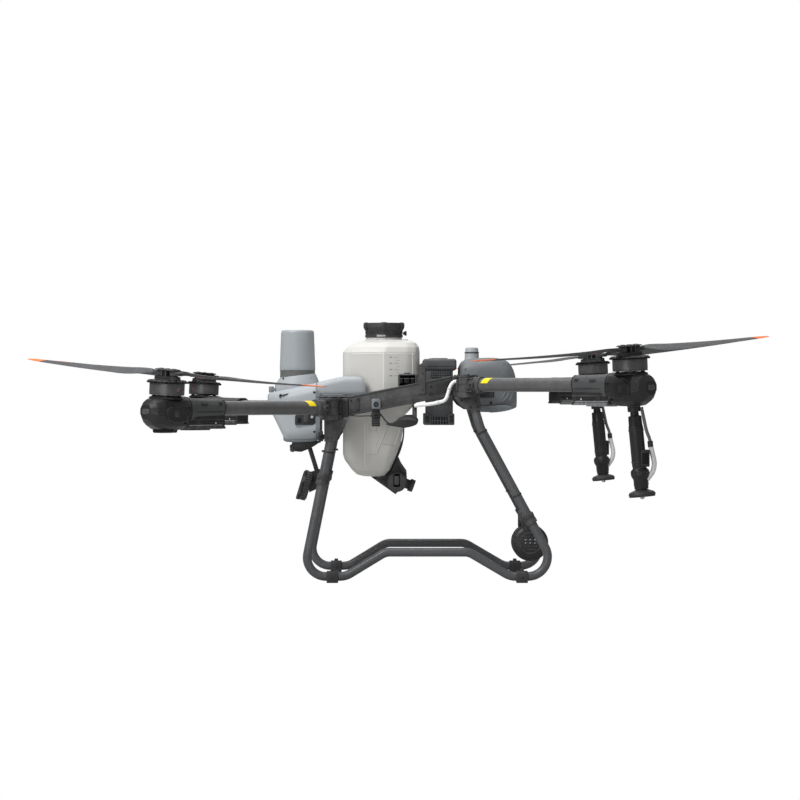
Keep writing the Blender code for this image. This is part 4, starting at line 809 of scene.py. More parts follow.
# white suction hose beside the left beam, in its two clips
hose = [(0.0480, -0.2110, 0.5316), (0.0965, -0.2140, 0.5368), (0.1191, -0.2150, 0.5413), (0.1350, -0.2150, 0.5455), (0.1442, -0.2150, 0.5540), (0.1495, -0.2150, 0.5690),
        (0.1538, -0.2150, 0.5821), (0.1599, -0.2150, 0.5956), (0.1700, -0.2150, 0.6042), (0.1933, -0.2120, 0.6053)]
path = curve(hose, 8)
white = [(tube(path, 0.0056, 22), "hose_white")]
for i in (2, 6):
    p, q = Vector(hose[i]), Vector(hose[i + 1])
    m = aim(p, q - p)
    white.append((lathe([(0.0054, -0.0026), (0.0068, -0.0026), (0.0068, 0.0026), (0.0054, 0.0026)], 28, m, ring=True), "hose_clear"))
white.append((rod((0.0480, -0.1985, 0.5316), (0.0480, -0.2130, 0.5316), 0.0070, n=24, soften=0.001), "trim"))
white.append((rod((0.1950, -0.1980, 0.6053), (0.1950, -0.2140, 0.6053), 0.0075, n=24, soften=0.001), "trim"))
piece("white_hose", white, "airframe")
wire = []
for s in (-1, 1):
    wire.append((tube(curve([(0.0166, s * 0.2000, 0.4660), (0.0160, s * 0.2010, 0.4480), (0.0136, s * 0.2010, 0.4266), (0.0060, s * 0.1990, 0.3980), (-0.0045, s * 0.1940, 0.3728)], 8), 0.0016, 10), "cable"))
piece("airframe_cables", wire, "airframe")

# ---- skids, feet and cross tubes -----------------------------------------------
SKID_PATH = ((-0.1953, 0.4740, 0), (-0.2868, 0.0190, 0.0565), (-0.1590, 0.0190, 0.060), (-0.0394, 0.0917, 0.050), (0.2120, 0.0917, 0.050),
             (0.3360, 0.0190, 0.060), (0.4879, 0.0190, 0.059), (0.2464, 0.4648, 0.080), (0.2212, 0.5480, 0))


def sleeve(a, b, y, r0, r1, lips=True):
    a, b = Vector((a[0], y, a[1])), Vector((b[0], y, b[1]))
    length = (b - a).length
    profile = [(r0, 0.0), (r1 - 0.001, 0.0), (r1, 0.001), (r1, length - 0.001), (r1 - 0.001, length), (r0, length)]
    return lathe(profile, 48, aim(a, b - a), ring=True)


def skid_items(s):
    y = s * SKID_Y
    path = fillet(SKID_PATH, 3.0)
    items = [(tube([(p.x, y, p.y) for p in path], SKID_R + 0.0014, 32), "skid")]

    def on(x0, z0, x1, z1, t):
        return (x0 + (x1 - x0) * t, z0 + (z1 - z0) * t)

    front_leg = (-0.2868, 0.0190, -0.1953, 0.4740)
    rear_leg = (0.4879, 0.0190, 0.2464, 0.4648)
    for leg, spots in ((front_leg, ((0.889, 0.898), (0.816, 0.826))), (rear_leg, ((0.968, 0.980), (0.542, 0.552)))):
        for a, b in spots:
            items.append((sleeve(on(*leg, a), on(*leg, b), y, SKID_R - 0.0006, SKID_R + 0.0032), "trim"))
    x, z = on(*front_leg, 0.821)
    items.append((rod((x - 0.0190, y, z + 0.0036), (x + 0.0190, y, z - 0.0036), 0.0032, n=20, soften=0.0006), "trim"))
    return items


for side, s in (("left", -1), ("right", 1)):
    piece(f"skid_skin_{side}", skid_items(s), "airframe", [f"skid_{side}"], angle=40)


def foot_items(x, y):
    section = [(-0.0150, 0), (0.0150, 0), (0.0172, 0.0030), (0.0175, 0.0220), (0.0160, 0.0290), (0.0100, 0.0355), (-0.0100, 0.0355), (-0.0160, 0.0290), (-0.0175, 0.0220), (-0.0172, 0.0030)]
    bm = prism(section, "x", -0.0172, 0.0172, 0.0016, Matrix.Translation((x, y, 0)))
    items = [(bm, "rubber"), (box(x - 0.0058, x + 0.0058, y - 0.0058, y + 0.0058, 0.0340, 0.0420, 0.0016), "rubber")]
    for k in range(5):
        u = x - 0.0130 + 0.0065 * k
        items.append((box(u - 0.0016, u + 0.0016, y - 0.0182, y + 0.0182, 0.0016, 0.0060, 0.0006), "rubber"))
    for s in (-1, 1):
        items.append((bolt((x, y + s * 0.0174, 0.0160), (0, s, 0), 0.0040, 0.0014), "dark_bolt"))
    return items


FOOT = {"front_left": (-0.1985, -1), "front_right": (-0.1985, 1), "rear_left": (0.3710, -1), "rear_right": (0.3710, 1)}
for code, (x, s) in FOOT.items():
    node = "foot_" + code
    piece(f"foot_skin_{code}", foot_items(x, s * SKID_Y), "airframe", [node])

for name, x, z, r, lean in (("front", -0.2283, 0.3100, 0.011, 0.2011), ("rear", 0.3942, 0.1920, 0.013, -0.5417)):
    items = [(tube([(x, -0.2300 + 0.46 * k / 6, z) for k in range(7)], r, 32), "skid")]
    for s in (-1, 1):
        m = aim((x, s * SKID_Y, z), (lean, 0, 1))
        items.append((lathe([(0.0121, -0.0160), (0.0166, -0.0160), (0.0178, -0.0148), (0.0178, -0.0040), (0.0170, -0.0030), (0.0170, 0.0030), (0.0178, 0.0040), (0.0178, 0.0148), (0.0166, 0.0160), (0.0121, 0.0160)], 48, m, ring=True), "cast"))
        items.append((rod((x, s * 0.2300, z), (x, s * 0.2120, z), r + 0.0026, n=36, soften=0.001), "cast"))
        items.append((box(-0.0045, 0.0045, *sorted((s * 0.0160, s * 0.0205)), -0.0130, 0.0130, 0.0012, m), "cast"))
        for t in (-0.0085, 0.0085):
            items.append((bolt(m @ Vector((0, s * 0.0203, t)), (0, s, 0), 0.0028, 0.0018), "dark_bolt"))
    piece(f"{name}_cross_tube_skin", items, "airframe", [f"{name}_cross_tube"], angle=40)


# ---- covers ----------------------------------------------------------------------
COWL = ((-0.4020, 0.070, 0.5640, 0.5480, 0.006), (-0.3950, 0.094, 0.5701, 0.5200, 0.020), (-0.3780, 0.112, 0.5738, 0.4880, 0.026), (-0.3580, 0.126, 0.5782, 0.4480, 0.030),
        (-0.3460, 0.132, 0.5809, 0.4260, 0.032), (-0.3300, 0.138, 0.5844, 0.4230, 0.034), (-0.2900, 0.147, 0.5932, 0.4260, 0.036), (-0.2520, 0.152, 0.6016, 0.4300, 0.036), (-0.2400, 0.153, 0.6042, 0.4320, 0.036))
HOOD = ((-0.2460, 0.1525, 0.6029), (-0.2060, 0.155, 0.6130), (-0.1650, 0.1565, 0.6212), (-0.1180, 0.1565, 0.6205), (-0.1080, 0.1555, 0.6150), (-0.1016, 0.1535, 0.6040))


def cut(bm, cutters):
    """Cuts closed bmeshes out of a closed bmesh with exact Booleans and returns the result."""
    temp = bpy.data.meshes.new("temp")
    bm.to_mesh(temp)
    bm.free()
    base = bpy.data.objects.new("temp", temp)
    bpy.context.scene.collection.objects.link(base)
    tools = []
    for c in cutters:
        data = bpy.data.meshes.new("tool")
        c.to_mesh(data)
        c.free()
        tool = bpy.data.objects.new("tool", data)
        bpy.context.scene.collection.objects.link(tool)
        tools.append(tool)
        mod = base.modifiers.new("cut", "BOOLEAN")
        mod.operation, mod.solver, mod.object = "DIFFERENCE", "EXACT", tool
    bpy.context.view_layer.update()
    graph = bpy.context.evaluated_depsgraph_get()
    out = bmesh.new()
    out.from_mesh(base.evaluated_get(graph).to_mesh())
    base.evaluated_get(graph).to_mesh_clear()
    for o in [base] + tools:
        data = o.data
        bpy.data.objects.remove(o)
        bpy.data.meshes.remove(data)
    return out


def arc_bar(points, r, key, n=10):
    return (tube(points, r, n), key)


outer = from_rings([rounded(w, low, high, r, x, 8) for x, w, high, low, r in ring_interp(COWL[1:], 4)])
tip = from_rings([rounded(w, low, high, r, x, 8) for x, w, high, low, r in ((-0.4020, 0.070, 0.5640, 0.5480, 0.006), (-0.4005, 0.078, 0.5662, 0.5400, 0.012), (-0.3975, 0.088, 0.5688, 0.5290, 0.017), (-0.3945, 0.0945, 0.5703, 0.5190, 0.020))])
inner = from_rings([rounded(w - 0.004, low + 0.004, high - 0.004, r - 0.003, x, 6) for x, w, high, low, r in
                    [(-0.3920, 0.080, 0.5660, 0.5360, 0.010)] + list(COWL[2:-1]) + [(-0.2300, 0.153, 0.6064, 0.4320, 0.036)]])
recess = [prism([(-0.3420, 0.4500), (-0.3360, 0.4760), (-0.2960, 0.4840), (-0.2760, 0.4800), (-0.2720, 0.4560), (-0.2860, 0.4470)], "y", *sorted((s * 0.1400, s * 0.2000)), 0.0) for s in (-1, 1)]
seams = [from_rings([rounded(w + 0.02, low - 0.02, high + 0.02, r, x, 2) for x, w, high, low, r in ((-0.2745, 0.150, 0.60, 0.43, 0.036), (-0.2731, 0.150, 0.60, 0.43, 0.036))])]
shell = cut(outer, [inner])
nose = [(shell, "grey"), (tip, "grey")]
hood = from_rings([rounded(w, 0.5565, high, 0.020, x, 8) for x, w, high in HOOD])
under = from_rings([rounded(w - 0.004, 0.5400, high - 0.004, 0.017, x, 6) for x, w, high in [(-0.2500, 0.1525, 0.6021)] + list(HOOD[1:-1]) + [(-0.0900, 0.1535, 0.6040)]])
notch = prism([(-0.1760, -0.100), (-0.1660, -0.1200), (-0.1580, -0.1385), (-0.05, -0.1385), (-0.05, 0.1385), (-0.1580, 0.1385), (-0.1660, 0.1200), (-0.1760, 0.100)], "z", 0.5, 0.7)
nose.append((cut(hood, [under, notch]), "grey"))
# band at the hood joint, in the grey shell colour darkened as painted shade
nose.append((from_rings([rounded(w + 0.0010, low - 0.0010, high + 0.0010, r, x, 8) for x, w, high, low, r in ((-0.2520, 0.152, 0.6016, 0.4300, 0.036), (-0.2420, 0.153, 0.6040, 0.4320, 0.036))]), "grey_painted_shade"))
for s in (-1, 1):
    def skin(points, lo, hi, key, bevel=0.0010):
        nose.append((prism(points, "y", *sorted((s * lo, s * hi)), bevel), key))
    # black catch and small parts low on the side, slot and catch near the top edge, and screws
    skin([(-0.3147, 0.4727), (-0.3147, 0.5010), (-0.3080, 0.5060), (-0.2960, 0.5060), (-0.2900, 0.5153), (-0.2640, 0.5153), (-0.2600, 0.5060), (-0.2478, 0.4990), (-0.2478, 0.4800), (-0.2600, 0.4727)], 0.1380, 0.1530, "trim", 0.0016)
    skin([(-0.3080, 0.4790), (-0.3080, 0.4950), (-0.2960, 0.4950), (-0.2960, 0.4790)], 0.1500, 0.1542, "black", 0.0010)
    skin([(-0.2880, 0.4820), (-0.2880, 0.5080), (-0.2720, 0.5080), (-0.2720, 0.4820)], 0.1500, 0.1548, "cast", 0.0012)
    nose.append((bolt((-0.2630, s * 0.1525, 0.4970), (0, s, 0), 0.0040, 0.0024), "spot"))
    skin([(-0.2480, 0.4180), (-0.2430, 0.4300), (-0.2380, 0.4400), (-0.2308, 0.4400), (-0.2330, 0.4280), (-0.2380, 0.4180)], 0.1200, 0.1420, "trim", 0.0010)
    skin([(-0.3560, 0.5620), (-0.3560, 0.5646), (-0.3360, 0.5690), (-0.3360, 0.5662)], 0.1150, 0.1330, "trim", 0.0004)
    skin([(-0.3640, 0.5560), (-0.3640, 0.5660), (-0.3570, 0.5676), (-0.3570, 0.5576)], 0.1120, 0.1275, "trim", 0.0012)
    skin([(-0.2440, 0.4340), (-0.2440, 0.4480), (-0.2380, 0.4500), (-0.2380, 0.4360)], 0.1400, 0.1535, "trim", 0.0008)
    for x, z in ((-0.2560, 0.5720), (-0.2560, 0.4520), (-0.3340, 0.5300)):
        nose.append((bolt((x, s * (0.1505 if x > -0.3 else 0.1368), z), (0, s, 0), 0.0036, 0.0020), "trim"))
    nose.append((box(-0.2440, -0.1560, *sorted((s * 0.1380, s * 0.1500)), 0.5440, 0.5640, 0.0016), "trim"))
    # a raised rim along the ear beside the tank, in the grey shell colour darkened as painted shade
    rim = [(-0.2460, s * 0.1535, 0.5600), (-0.2060, s * 0.1560, 0.5600), (-0.1650, s * 0.1575, 0.5600), (-0.1180, s * 0.1575, 0.5600), (-0.1060, s * 0.1555, 0.5620)]
    nose.append(arc_bar(curve(rim, 6), 0.0022, "grey_painted_shade"))
# chin bumper and the folded front lip, in the grey shell colour darkened as painted shade
nose.append((from_rings([rounded(w, low, high, 0.006, x, 5) for x, w, low, high in ((-0.3520, 0.112, 0.4255, 0.4420), (-0.3440, 0.120, 0.4210, 0.4390), (-0.3200, 0.124, 0.4190, 0.4330), (-0.2700, 0.128, 0.4210, 0.4340), (-0.2500, 0.128, 0.4240, 0.4360))]), "grey_painted_shade"))
lip = [(-0.3960, -0.060, 0.5575), (-0.4012, -0.030, 0.5560), (-0.4024, 0.0, 0.5555), (-0.4012, 0.030, 0.5560), (-0.3960, 0.060, 0.5575)]
nose.append(arc_bar(curve(lip, 6), 0.0018, "grey_painted_shade"))
piece("nose_cowl_skin", nose, "airframe", ["nose_cowl"], angle=34)

REAR = ((0.1860, 0.100, 0.6500, 0.5160, 0.030), (0.2000, 0.118, 0.6700, 0.5100, 0.034), (0.2400, 0.128, 0.6765, 0.5080, 0.038),
        (0.2900, 0.130, 0.6780, 0.5100, 0.042), (0.3250, 0.125, 0.6720, 0.5140, 0.046), (0.3450, 0.115, 0.6560, 0.5190, 0.046),
        (0.3570, 0.100, 0.6300, 0.5230, 0.040), (0.3630, 0.082, 0.5980, 0.5270, 0.030))
outer = from_rings([rounded(w, low, high, r, x, 8) for x, w, high, low, r in ring_interp(REAR, 4)])
inner = from_rings([rounded(w - 0.004, low + (-0.03 if i < 3 else 0.004), high - 0.004, r - 0.003, x, 6) for i, (x, w, high, low, r) in
                    enumerate([(0.1800, 0.094, 0.6440, 0.5160, 0.030)] + list(REAR[1:-1]) + [(0.3585, 0.084, 0.6050, 0.5270, 0.030)])])
tail = [(cut(outer, [inner, box(0.10, 0.2460, -0.3, 0.3, 0.50, 0.6200)]), "rear_grey")]
tail.append((lathe([(0, 0.668), (0.0240, 0.668), (0.0240, 0.672), (0.0225, 0.675), (0.0218, 0.690), (0.0200, 0.7060), (0.0185, 0.7095), (0.0150, 0.7110), (0, 0.7110)], 48, Matrix.Translation((0.2270, 0, 0))), "grey"))
tail.append((lathe([(0.0216, 0.6930), (0.0226, 0.6936), (0.0224, 0.6964), (0.0212, 0.6970)], 48, Matrix.Translation((0.2270, 0, 0)), ring=True), "trim"))
for s in (-1, 1):
    # curved ribs that follow the rear end, in three steps, in the grey shell colour darkened as painted shade, and a
    # screw
    for k, shift in enumerate((0.0, 0.0120, 0.0230)):
        arc = []
        for i in range(13):
            a = math.radians(-60 + 125 * i / 12)
            x = 0.2980 + (0.0540 - shift) * math.cos(a) * 1.02
            z = 0.5960 + (0.0700 - shift) * math.sin(a)
            row = min(REAR, key=lambda q: abs(q[0] - x))
            lower = [q for q in REAR if q[0] <= x] or [REAR[0]]
            upper = [q for q in REAR if q[0] > x] or [REAR[-1]]
            p, q = lower[-1], upper[0]
            t = 0 if p is q else (x - p[0]) / (q[0] - p[0])
            w, high, low, r = (p[j] + (q[j] - p[j]) * t for j in (1, 2, 3, 4))
            y = w
            if z > high - r:
                y = w - r + math.sqrt(max(0.0, r * r - (z - high + r) ** 2))
            if z < low + r:
                y = w - r + math.sqrt(max(0.0, r * r - (low + r - z) ** 2))
            arc.append((x, s * (y + 0.0002), z))
        tail.append(arc_bar(arc, 0.0018, "grey_painted_shade"))
    tail.append((bolt((0.2820, s * 0.1290, 0.5400), (0, s, 0), 0.0042, 0.0022), "trim"))
    tail.append((bolt((0.2060, s * 0.1180, 0.6420), (0, s, 0), 0.0036, 0.0022), "trim"))
    # low side panel in the grey shell colour darkened as painted shade
    tail.append((prism([(0.2470, 0.5120), (0.2470, 0.5300), (0.3300, 0.5340), (0.3460, 0.5280), (0.3400, 0.5180), (0.3000, 0.5110)], "y", *sorted((s * 0.1150, s * 0.1322)), 0.0016), "grey_painted_shade"))
    tail.append((box(0.2480, 0.2920, *sorted((s * 0.1280, s * 0.1318)), 0.5560, 0.5960, 0.0016), "trim"))
    for k in range(6):
        tail.append((box(0.2510 + 0.0066 * k, 0.2546 + 0.0066 * k, *sorted((s * 0.1300, s * 0.1328)), 0.5590, 0.5930, 0.0008, segments=1), "cast"))
piece("rear_cowl_skin", tail, "airframe", ["rear_cowl"], angle=34)

# ---- dome, camera, radars ----------------------------------------------------------
DOME_X = -0.3126
dome_place = Matrix.Translation((DOME_X, 0, 0))
below = box(-0.3, 0.3, -0.3, 0.3, -0.2, 0.0, place=Matrix.Translation((DOME_X, 0, 0.5745 + 0.22 * 0.0624 + 0.0006)) @ Matrix.Rotation(-math.atan(0.22), 4, "Y"))
base = cut(lathe([(0, 0.55), (0.0700, 0.55), (0.0700, 0.5955), (0.0690, 0.5985), (0.0660, 0.6040), (0.0615, 0.6125), (0.0582, 0.6190), (0.0565, 0.6215), (0.0545, 0.6236), (0.0520, 0.6240), (0, 0.6240)], 88, dome_place), [below])
band = lathe([(0, 0.6140), (0.0540, 0.6140), (0.0540, 0.6405), (0, 0.6405)], 88, dome_place)
for v in base.verts:
    if v.co.z > 0.595:
        v.co.z += 0.12 * (v.co.x - DOME_X) * min(1.0, (v.co.z - 0.595) / 0.025)
items = [(base, "grey"),
         (band, "band"),
         (lathe([(0, 0.6403), (0.0546, 0.6405), (0.0552, 0.6415), (0.0549, 0.6500), (0.0535, 0.6900), (0.0524, 0.7200), (0.0512, 0.7520), (0.0508, 0.7570), (0.0500, 0.7600), (0.0488, 0.7626), (0.0470, 0.7640), (0.0440, 0.7645), (0, 0.7645)], 88, dome_place), "dome")]
for k in range(4):
    a = math.radians(90 * k + 45)
    items.append((bolt((DOME_X + 0.0600 * math.cos(a), 0.0600 * math.sin(a), 0.6150), (math.cos(a) * 0.8, math.sin(a) * 0.8, 0.6), 0.0030, 0.0016), "trim"))
# small front parts in the grey shell colour darkened as painted shade
items.append((cut(lathe([(0, 0.560), (0.0080, 0.560), (0.0080, 0.5890), (0.0070, 0.5905), (0, 0.5905)], 32, Matrix.Translation((-0.3926, -0.020, 0))), [box(-0.5, 0.0, -0.3, 0.3, 0.3, 0.5712)]), "grey_painted_shade"))
items.append((box(-0.3930, -0.3600, -0.0260, -0.0140, 0.5760, 0.5860, 0.0020), "grey_painted_shade"))
piece("radar_dome_skin", items, "airframe", ["radar_dome"], angle=34)

items = [(prism([(-0.3280, 0.4222), (-0.3300, 0.4060), (-0.3220, 0.3900), (-0.3000, 0.3880), (-0.2750, 0.3980), (-0.2600, 0.4060), (-0.2370, 0.4222)], "y", -0.032, 0.032, 0.0030), "trim")]
lens = aim((-0.322, 0, 0.4000), (-0.014, 0, -0.0015))
items += [(lathe([(0, 0), (0.0110, 0), (0.0110, 0.0120), (0.0102, 0.0141), (0.0080, 0.0141), (0.0072, 0.0110), (0, 0.0120)], 48, lens), "glass"),
          (lathe([(0.0100, 0.0030), (0.0124, 0.0030), (0.0124, 0.0090), (0.0100, 0.0090)], 48, lens, ring=True), "cast"),
          (box(-0.3262, -0.3200, -0.0290, -0.0150, 0.3930, 0.4120, 0.0016), "lamp"), (box(-0.3262, -0.3200, 0.0150, 0.0290, 0.3930, 0.4120, 0.0016), "lamp")]
for s in (-1, 1):
    for x in (-0.3100, -0.2800):
        items.append((bolt((x, s * 0.0320, 0.4140), (0, s, 0), 0.0030, 0.0018), "dark_bolt"))
    for k in range(5):
        items.append((box(-0.3060 + 0.0070 * k, -0.3030 + 0.0070 * k, *sorted((s * 0.0312, s * 0.0330)), 0.3960, 0.4080, 0.0006, segments=1), "cast"))
piece("nose_camera_skin", items, "airframe", ["nose_camera"])
piece("avionics_skin", [(box(-0.3280, -0.2480, -0.080, 0.080, 0.4480, 0.5460, 0.0040), "trim"), (box(-0.2500, -0.2372, -0.030, 0.030, 0.5050, 0.5440, 0.0016), "steel")] +
      [(box(-0.3240 + 0.009 * k, -0.3200 + 0.009 * k, -0.070, 0.070, 0.5450, 0.5500, 0.0008, segments=1), "cast") for k in range(8)], "airframe", ["avionics_box"])

tilt = Matrix.Translation((-0.2890, 0, 0.2830)) @ Matrix.Rotation(math.radians(17), 4, "Y")
items = [(box(-0.0150, -0.0040, -0.070, 0.070, -0.0440, 0.0460, 0.0032, tilt, 3), "trim"), (box(-0.0060, 0.0090, -0.0655, 0.0655, -0.0425, 0.0445, 0.0014, tilt), "cast"),
         (box(-0.0156, -0.0146, -0.062, 0.062, -0.0370, 0.0370, 0.0005, tilt), "glass")]
for s in (-1, 1):
    for k in range(12):
        z = -0.0415 + 0.0074 * k
        items.append((box(-0.0030, 0.0140, *sorted((s * 0.0650, s * 0.0706)), z, z + 0.0036, 0.0006, tilt, 1), "cast"))
for k in range(13):
    y = -0.060 + 0.010 * k
    items.append((box(0.0050, 0.0140, y - 0.0013, y + 0.0013, -0.0390, 0.0390, 0.0006, tilt, 1), "cast"))
for y in (-0.0640, 0.0640):
    for z in (-0.0380, 0.0, 0.0380):
        items.append((bolt(tilt @ Vector((0.0055, y, z)), tilt.to_3x3() @ Vector((1, 0, 0)), 0.0034, 0.0026), "dark_bolt"))
        items.append((bolt(tilt @ Vector((-0.0140, y + (0.0025 if y > 0 else -0.0025) * 0.4, z)), tilt.to_3x3() @ Vector((-1, 0, 0)), 0.0024, 0.0012), "dark_bolt"))
for s in (-1, 1):
    for x, z in ((-0.2600, 0.2950), (-0.2450, 0.3190)):
        items.append((bolt((x, s * 0.0060, z), (0, s, 0), 0.0044, 0.0030), "dark_bolt"))
    items.append((box(-0.0130, -0.0030, *sorted((s * 0.0695, s * 0.0715)), -0.0300, -0.0120, 0.0006, tilt), "dark_bolt"))
    items.append((box(-0.0130, -0.0030, *sorted((s * 0.0695, s * 0.0715)), 0.0120, 0.0300, 0.0006, tilt), "cast"))
items.append((prism([(-0.284, 0.322), (-0.246, 0.3350), (-0.2160, 0.3300), (-0.2100, 0.3200), (-0.2100, 0.3000), (-0.2160, 0.2900), (-0.276, 0.262)], "y", -0.0060, 0.0060, 0.0012), "cast"))
items.append((lathe([(0.0112, -0.016), (0.0170, -0.016), (0.0178, -0.015), (0.0178, 0.015), (0.0170, 0.016), (0.0112, 0.016)], 48, aim((-0.2283, 0, 0.3100), (0, 1, 0)), ring=True), "cast"))
items.append((rod((-0.2500, 0, 0.3200), (-0.2745, 0, 0.3990), 0.0070, n=36, soften=0.0008), "cast"))
piece("front_radar_skin", items, "airframe", ["front_radar"])

drum = aim((0.4060, 0, 0.1080), (0, 1, 0))
items = [(lathe([(0, -0.0450), (0.0430, -0.0450), (0.0444, -0.0444), (0.0500, -0.0410), (0.0520, -0.0402), (0.0550, -0.0400), (0.0560, -0.0390), (0.0560, -0.0310), (0.0552, -0.0300), (0.0532, -0.0285), (0.0530, -0.0275),
                 (0.0530, 0.0275), (0.0532, 0.0285), (0.0552, 0.0300), (0.0560, 0.0310), (0.0560, 0.0390), (0.0550, 0.0400), (0.0520, 0.0402), (0.0500, 0.0410), (0.0444, 0.0444), (0.0430, 0.0450), (0, 0.0450)], 96, drum), "trim")]
for k in range(30):
    a = math.radians(12 * k)
    items.append((box(0.0524, 0.0552, -0.0012, 0.0012, -0.0280, 0.0280, 0.0006, drum @ Matrix.Rotation(a, 4, "Z"), 1), "cast"))
for k in range(8):
    a = math.radians(45 * k + 22.5)
    for s in (-1, 1):
        items.append((bolt(drum @ Vector((0.0478 * math.cos(a), 0.0478 * math.sin(a), s * 0.0424)), (0, s, 0), 0.0026, 0.0016), "dark_bolt"))
for s in (-1, 1):
    items.append((lathe([(0.0300, 0), (0.0330, 0.0), (0.0330, 0.0014), (0.0300, 0.0014)], 64, aim((0.4060, s * 0.0448, 0.1080), (0, s, 0)), ring=True), "cast"))
    for j, (z, n) in enumerate(((0.1280, 6), (0.1180, 7), (0.1080, 7), (0.0980, 6), (0.0880, 5))):
        for k in range(n):
            x = 0.4060 + (k - (n - 1) / 2) * 0.0072
            items.append((box(x - 0.0024, x + 0.0024, *sorted((s * 0.0448, s * 0.0458)), z - 0.0018, z + 0.0018, 0.0005, segments=1), "label" if j in (1, 2) and k % 2 else "cast"))
    items.append((prism([(0.3900, 0.1560), (0.3790, 0.1790), (0.3800, 0.2030), (0.3990, 0.2090), (0.4100, 0.1980), (0.4120, 0.1560)], "y", *sorted((s * 0.0190, s * 0.0212)), 0.0010), "trim"))
    for p in ((0.3850, 0.1740), (0.3850, 0.2060), (0.4060, 0.2020), (0.4060, 0.1720)):
        items.append((bolt((p[0], s * 0.0200, p[1]), (0, s, 0), 0.0030, 0.0024), "dark_bolt"))
items.append((prism([(0.3860, 0.1500), (0.3740, 0.1780), (0.3745, 0.2000), (0.3800, 0.2100), (0.4000, 0.2140), (0.4140, 0.2000), (0.4160, 0.1500)], "y", -0.0200, 0.0200, 0.0020), "cast"))
items.append((box(0.3700, 0.3800, -0.0120, 0.0120, 0.1560, 0.1960, 0.0016), "trim"))
piece("rear_radar_skin", items, "airframe", ["rear_radar"])


# ---- tank, sump, cap -----------------------------------------------------------
TANK = (
    (0.3135, -0.108, -0.050, 0.074), (0.3190, -0.128, -0.038, 0.092), (0.3330, -0.143, -0.026, 0.108), (0.3650, -0.166, -0.012, 0.122),
    (0.3820, -0.171, -0.006, 0.127), (0.4200, -0.171, 0.008, 0.132), (0.4650, -0.171, 0.016, 0.135), (0.5020, -0.171, 0.020, 0.135),
    (0.5460, -0.171, 0.060, 0.135), (0.5600, -0.171, 0.065, 0.135), (0.6950, -0.171, 0.065, 0.135), (0.7100, -0.158, 0.063, 0.129),
    (0.7240, -0.136, 0.054, 0.116), (0.7310, -0.116, 0.038, 0.098), (0.7340, -0.104, 0.014, 0.074))


def tank_ring(z, x0, x1, w, inset=0.0):
    """The tank's plan at height z, its corners rounded off by a closed smooth line through the CAD's corner points."""
    x0, x1, w = x0 + inset, x1 - inset, w - inset
    d = x1 - x0
    half = [(x0, 0), (x0, 0.38 * w), (x0 + 0.004, 0.62 * w), (x0 + 0.020, 0.76 * w), (x0 + 0.55 * d, w), (x0 + 0.84 * d, 0.95 * w), (x0 + 0.955 * d, 0.84 * w), (x1, 0.62 * w), (x1, 0.30 * w)]
    loop = half + [(x, -y) for x, y in reversed(half[1:])] if half[0][1] == 0 else half
    loop = [(x, y) for x, y in loop]
    points = []
    n = len(loop)
    for i in range(n):
        a, b = Vector(loop[i]), Vector(loop[(i + 1) % n])
        c = Vector(loop[(i - 1) % n])
        cutoff = min(0.30, 0.008 / max((b - a).length, 1e-6))
        cutback = min(0.30, 0.008 / max((a - c).length, 1e-6))
        p, q = a + (c - a) * cutback, a + (b - a) * cutoff
        for t in (0.0, 0.25, 0.5, 0.75, 1.0):
            points.append((*(p * (1 - t) ** 2 + a * 2 * t * (1 - t) + q * t ** 2), z))
    return points


body = from_rings([tank_ring(*row) for row in TANK])
items = [(soft_edges(body, 0.0022, 16, 3), "tank")]
items.append((lathe([(0.0480, 0.7300), (0.0560, 0.7300), (0.0560, 0.7395), (0.0550, 0.7405), (0.0535, 0.7412), (0.0535, 0.7660), (0.0528, 0.7672), (0.0515, 0.7680), (0.0480, 0.7680)], 72, Matrix.Translation((TANK_X, 0, 0)), ring=True), "tank"))
for z in (0.7440, 0.7510, 0.7580):
    items.append((lathe([(0.0533, z), (0.0542, z + 0.0010), (0.0542, z + 0.0020), (0.0533, z + 0.0030)], 64, Matrix.Translation((TANK_X, 0, 0)), ring=True), "tank"))


def tank_side(x, z):
    """Half width of the tank at a place on its side."""
    low = [r for r in TANK if r[0] <= z][-1]
    high = [r for r in TANK if r[0] >= z][0]
    t = 0 if high[0] == low[0] else (z - low[0]) / (high[0] - low[0])
    x0, x1, w = (low[j] + (high[j] - low[j]) * t for j in (1, 2, 3))
    d = x1 - x0
    pts = [(x0, 0.38 * w), (x0 + 0.004, 0.62 * w), (x0 + 0.020, 0.76 * w), (x0 + 0.55 * d, w), (x0 + 0.84 * d, 0.95 * w), (x0 + 0.955 * d, 0.84 * w), (x1, 0.62 * w)]
    for (xa, ya), (xb, yb) in zip(pts, pts[1:]):
        if xa <= x <= xb and xb > xa:
            return ya + (yb - ya) * (x - xa) / (xb - xa)
    return pts[0][1]


def on_side(s, x0, x1, z0, z1, out, key, rows=7, deep=0.0022):
    """A raised or flush panel that follows the tank's side between two x and two z."""
    rings = []
    for i in range(rows):
        x = x0 + (x1 - x0) * i / (rows - 1)
        a, b = tank_side(x, z0), tank_side(x, z1)
        rings.append([(x, s * (a + out), z0), (x, s * (b + out), z1), (x, s * (b - deep), z1), (x, s * (a - deep), z0)])
    items.append((soft_edges(from_rings(rings), 0.0004, 40, 1), key))


def line_on(s, a, b, key="tank_mark", half=0.0011, out=0.0012, steps=8):
    """A raised line moulded on the tank's side from one (x, z) to another."""
    pts = []
    for i in range(steps + 1):
        t = i / steps
        x, z = a[0] + (b[0] - a[0]) * t, a[1] + (b[1] - a[1]) * t
        pts.append((x, s * (tank_side(x, z) + out - half), z))
    items.append((tube(pts, half, 10), key))


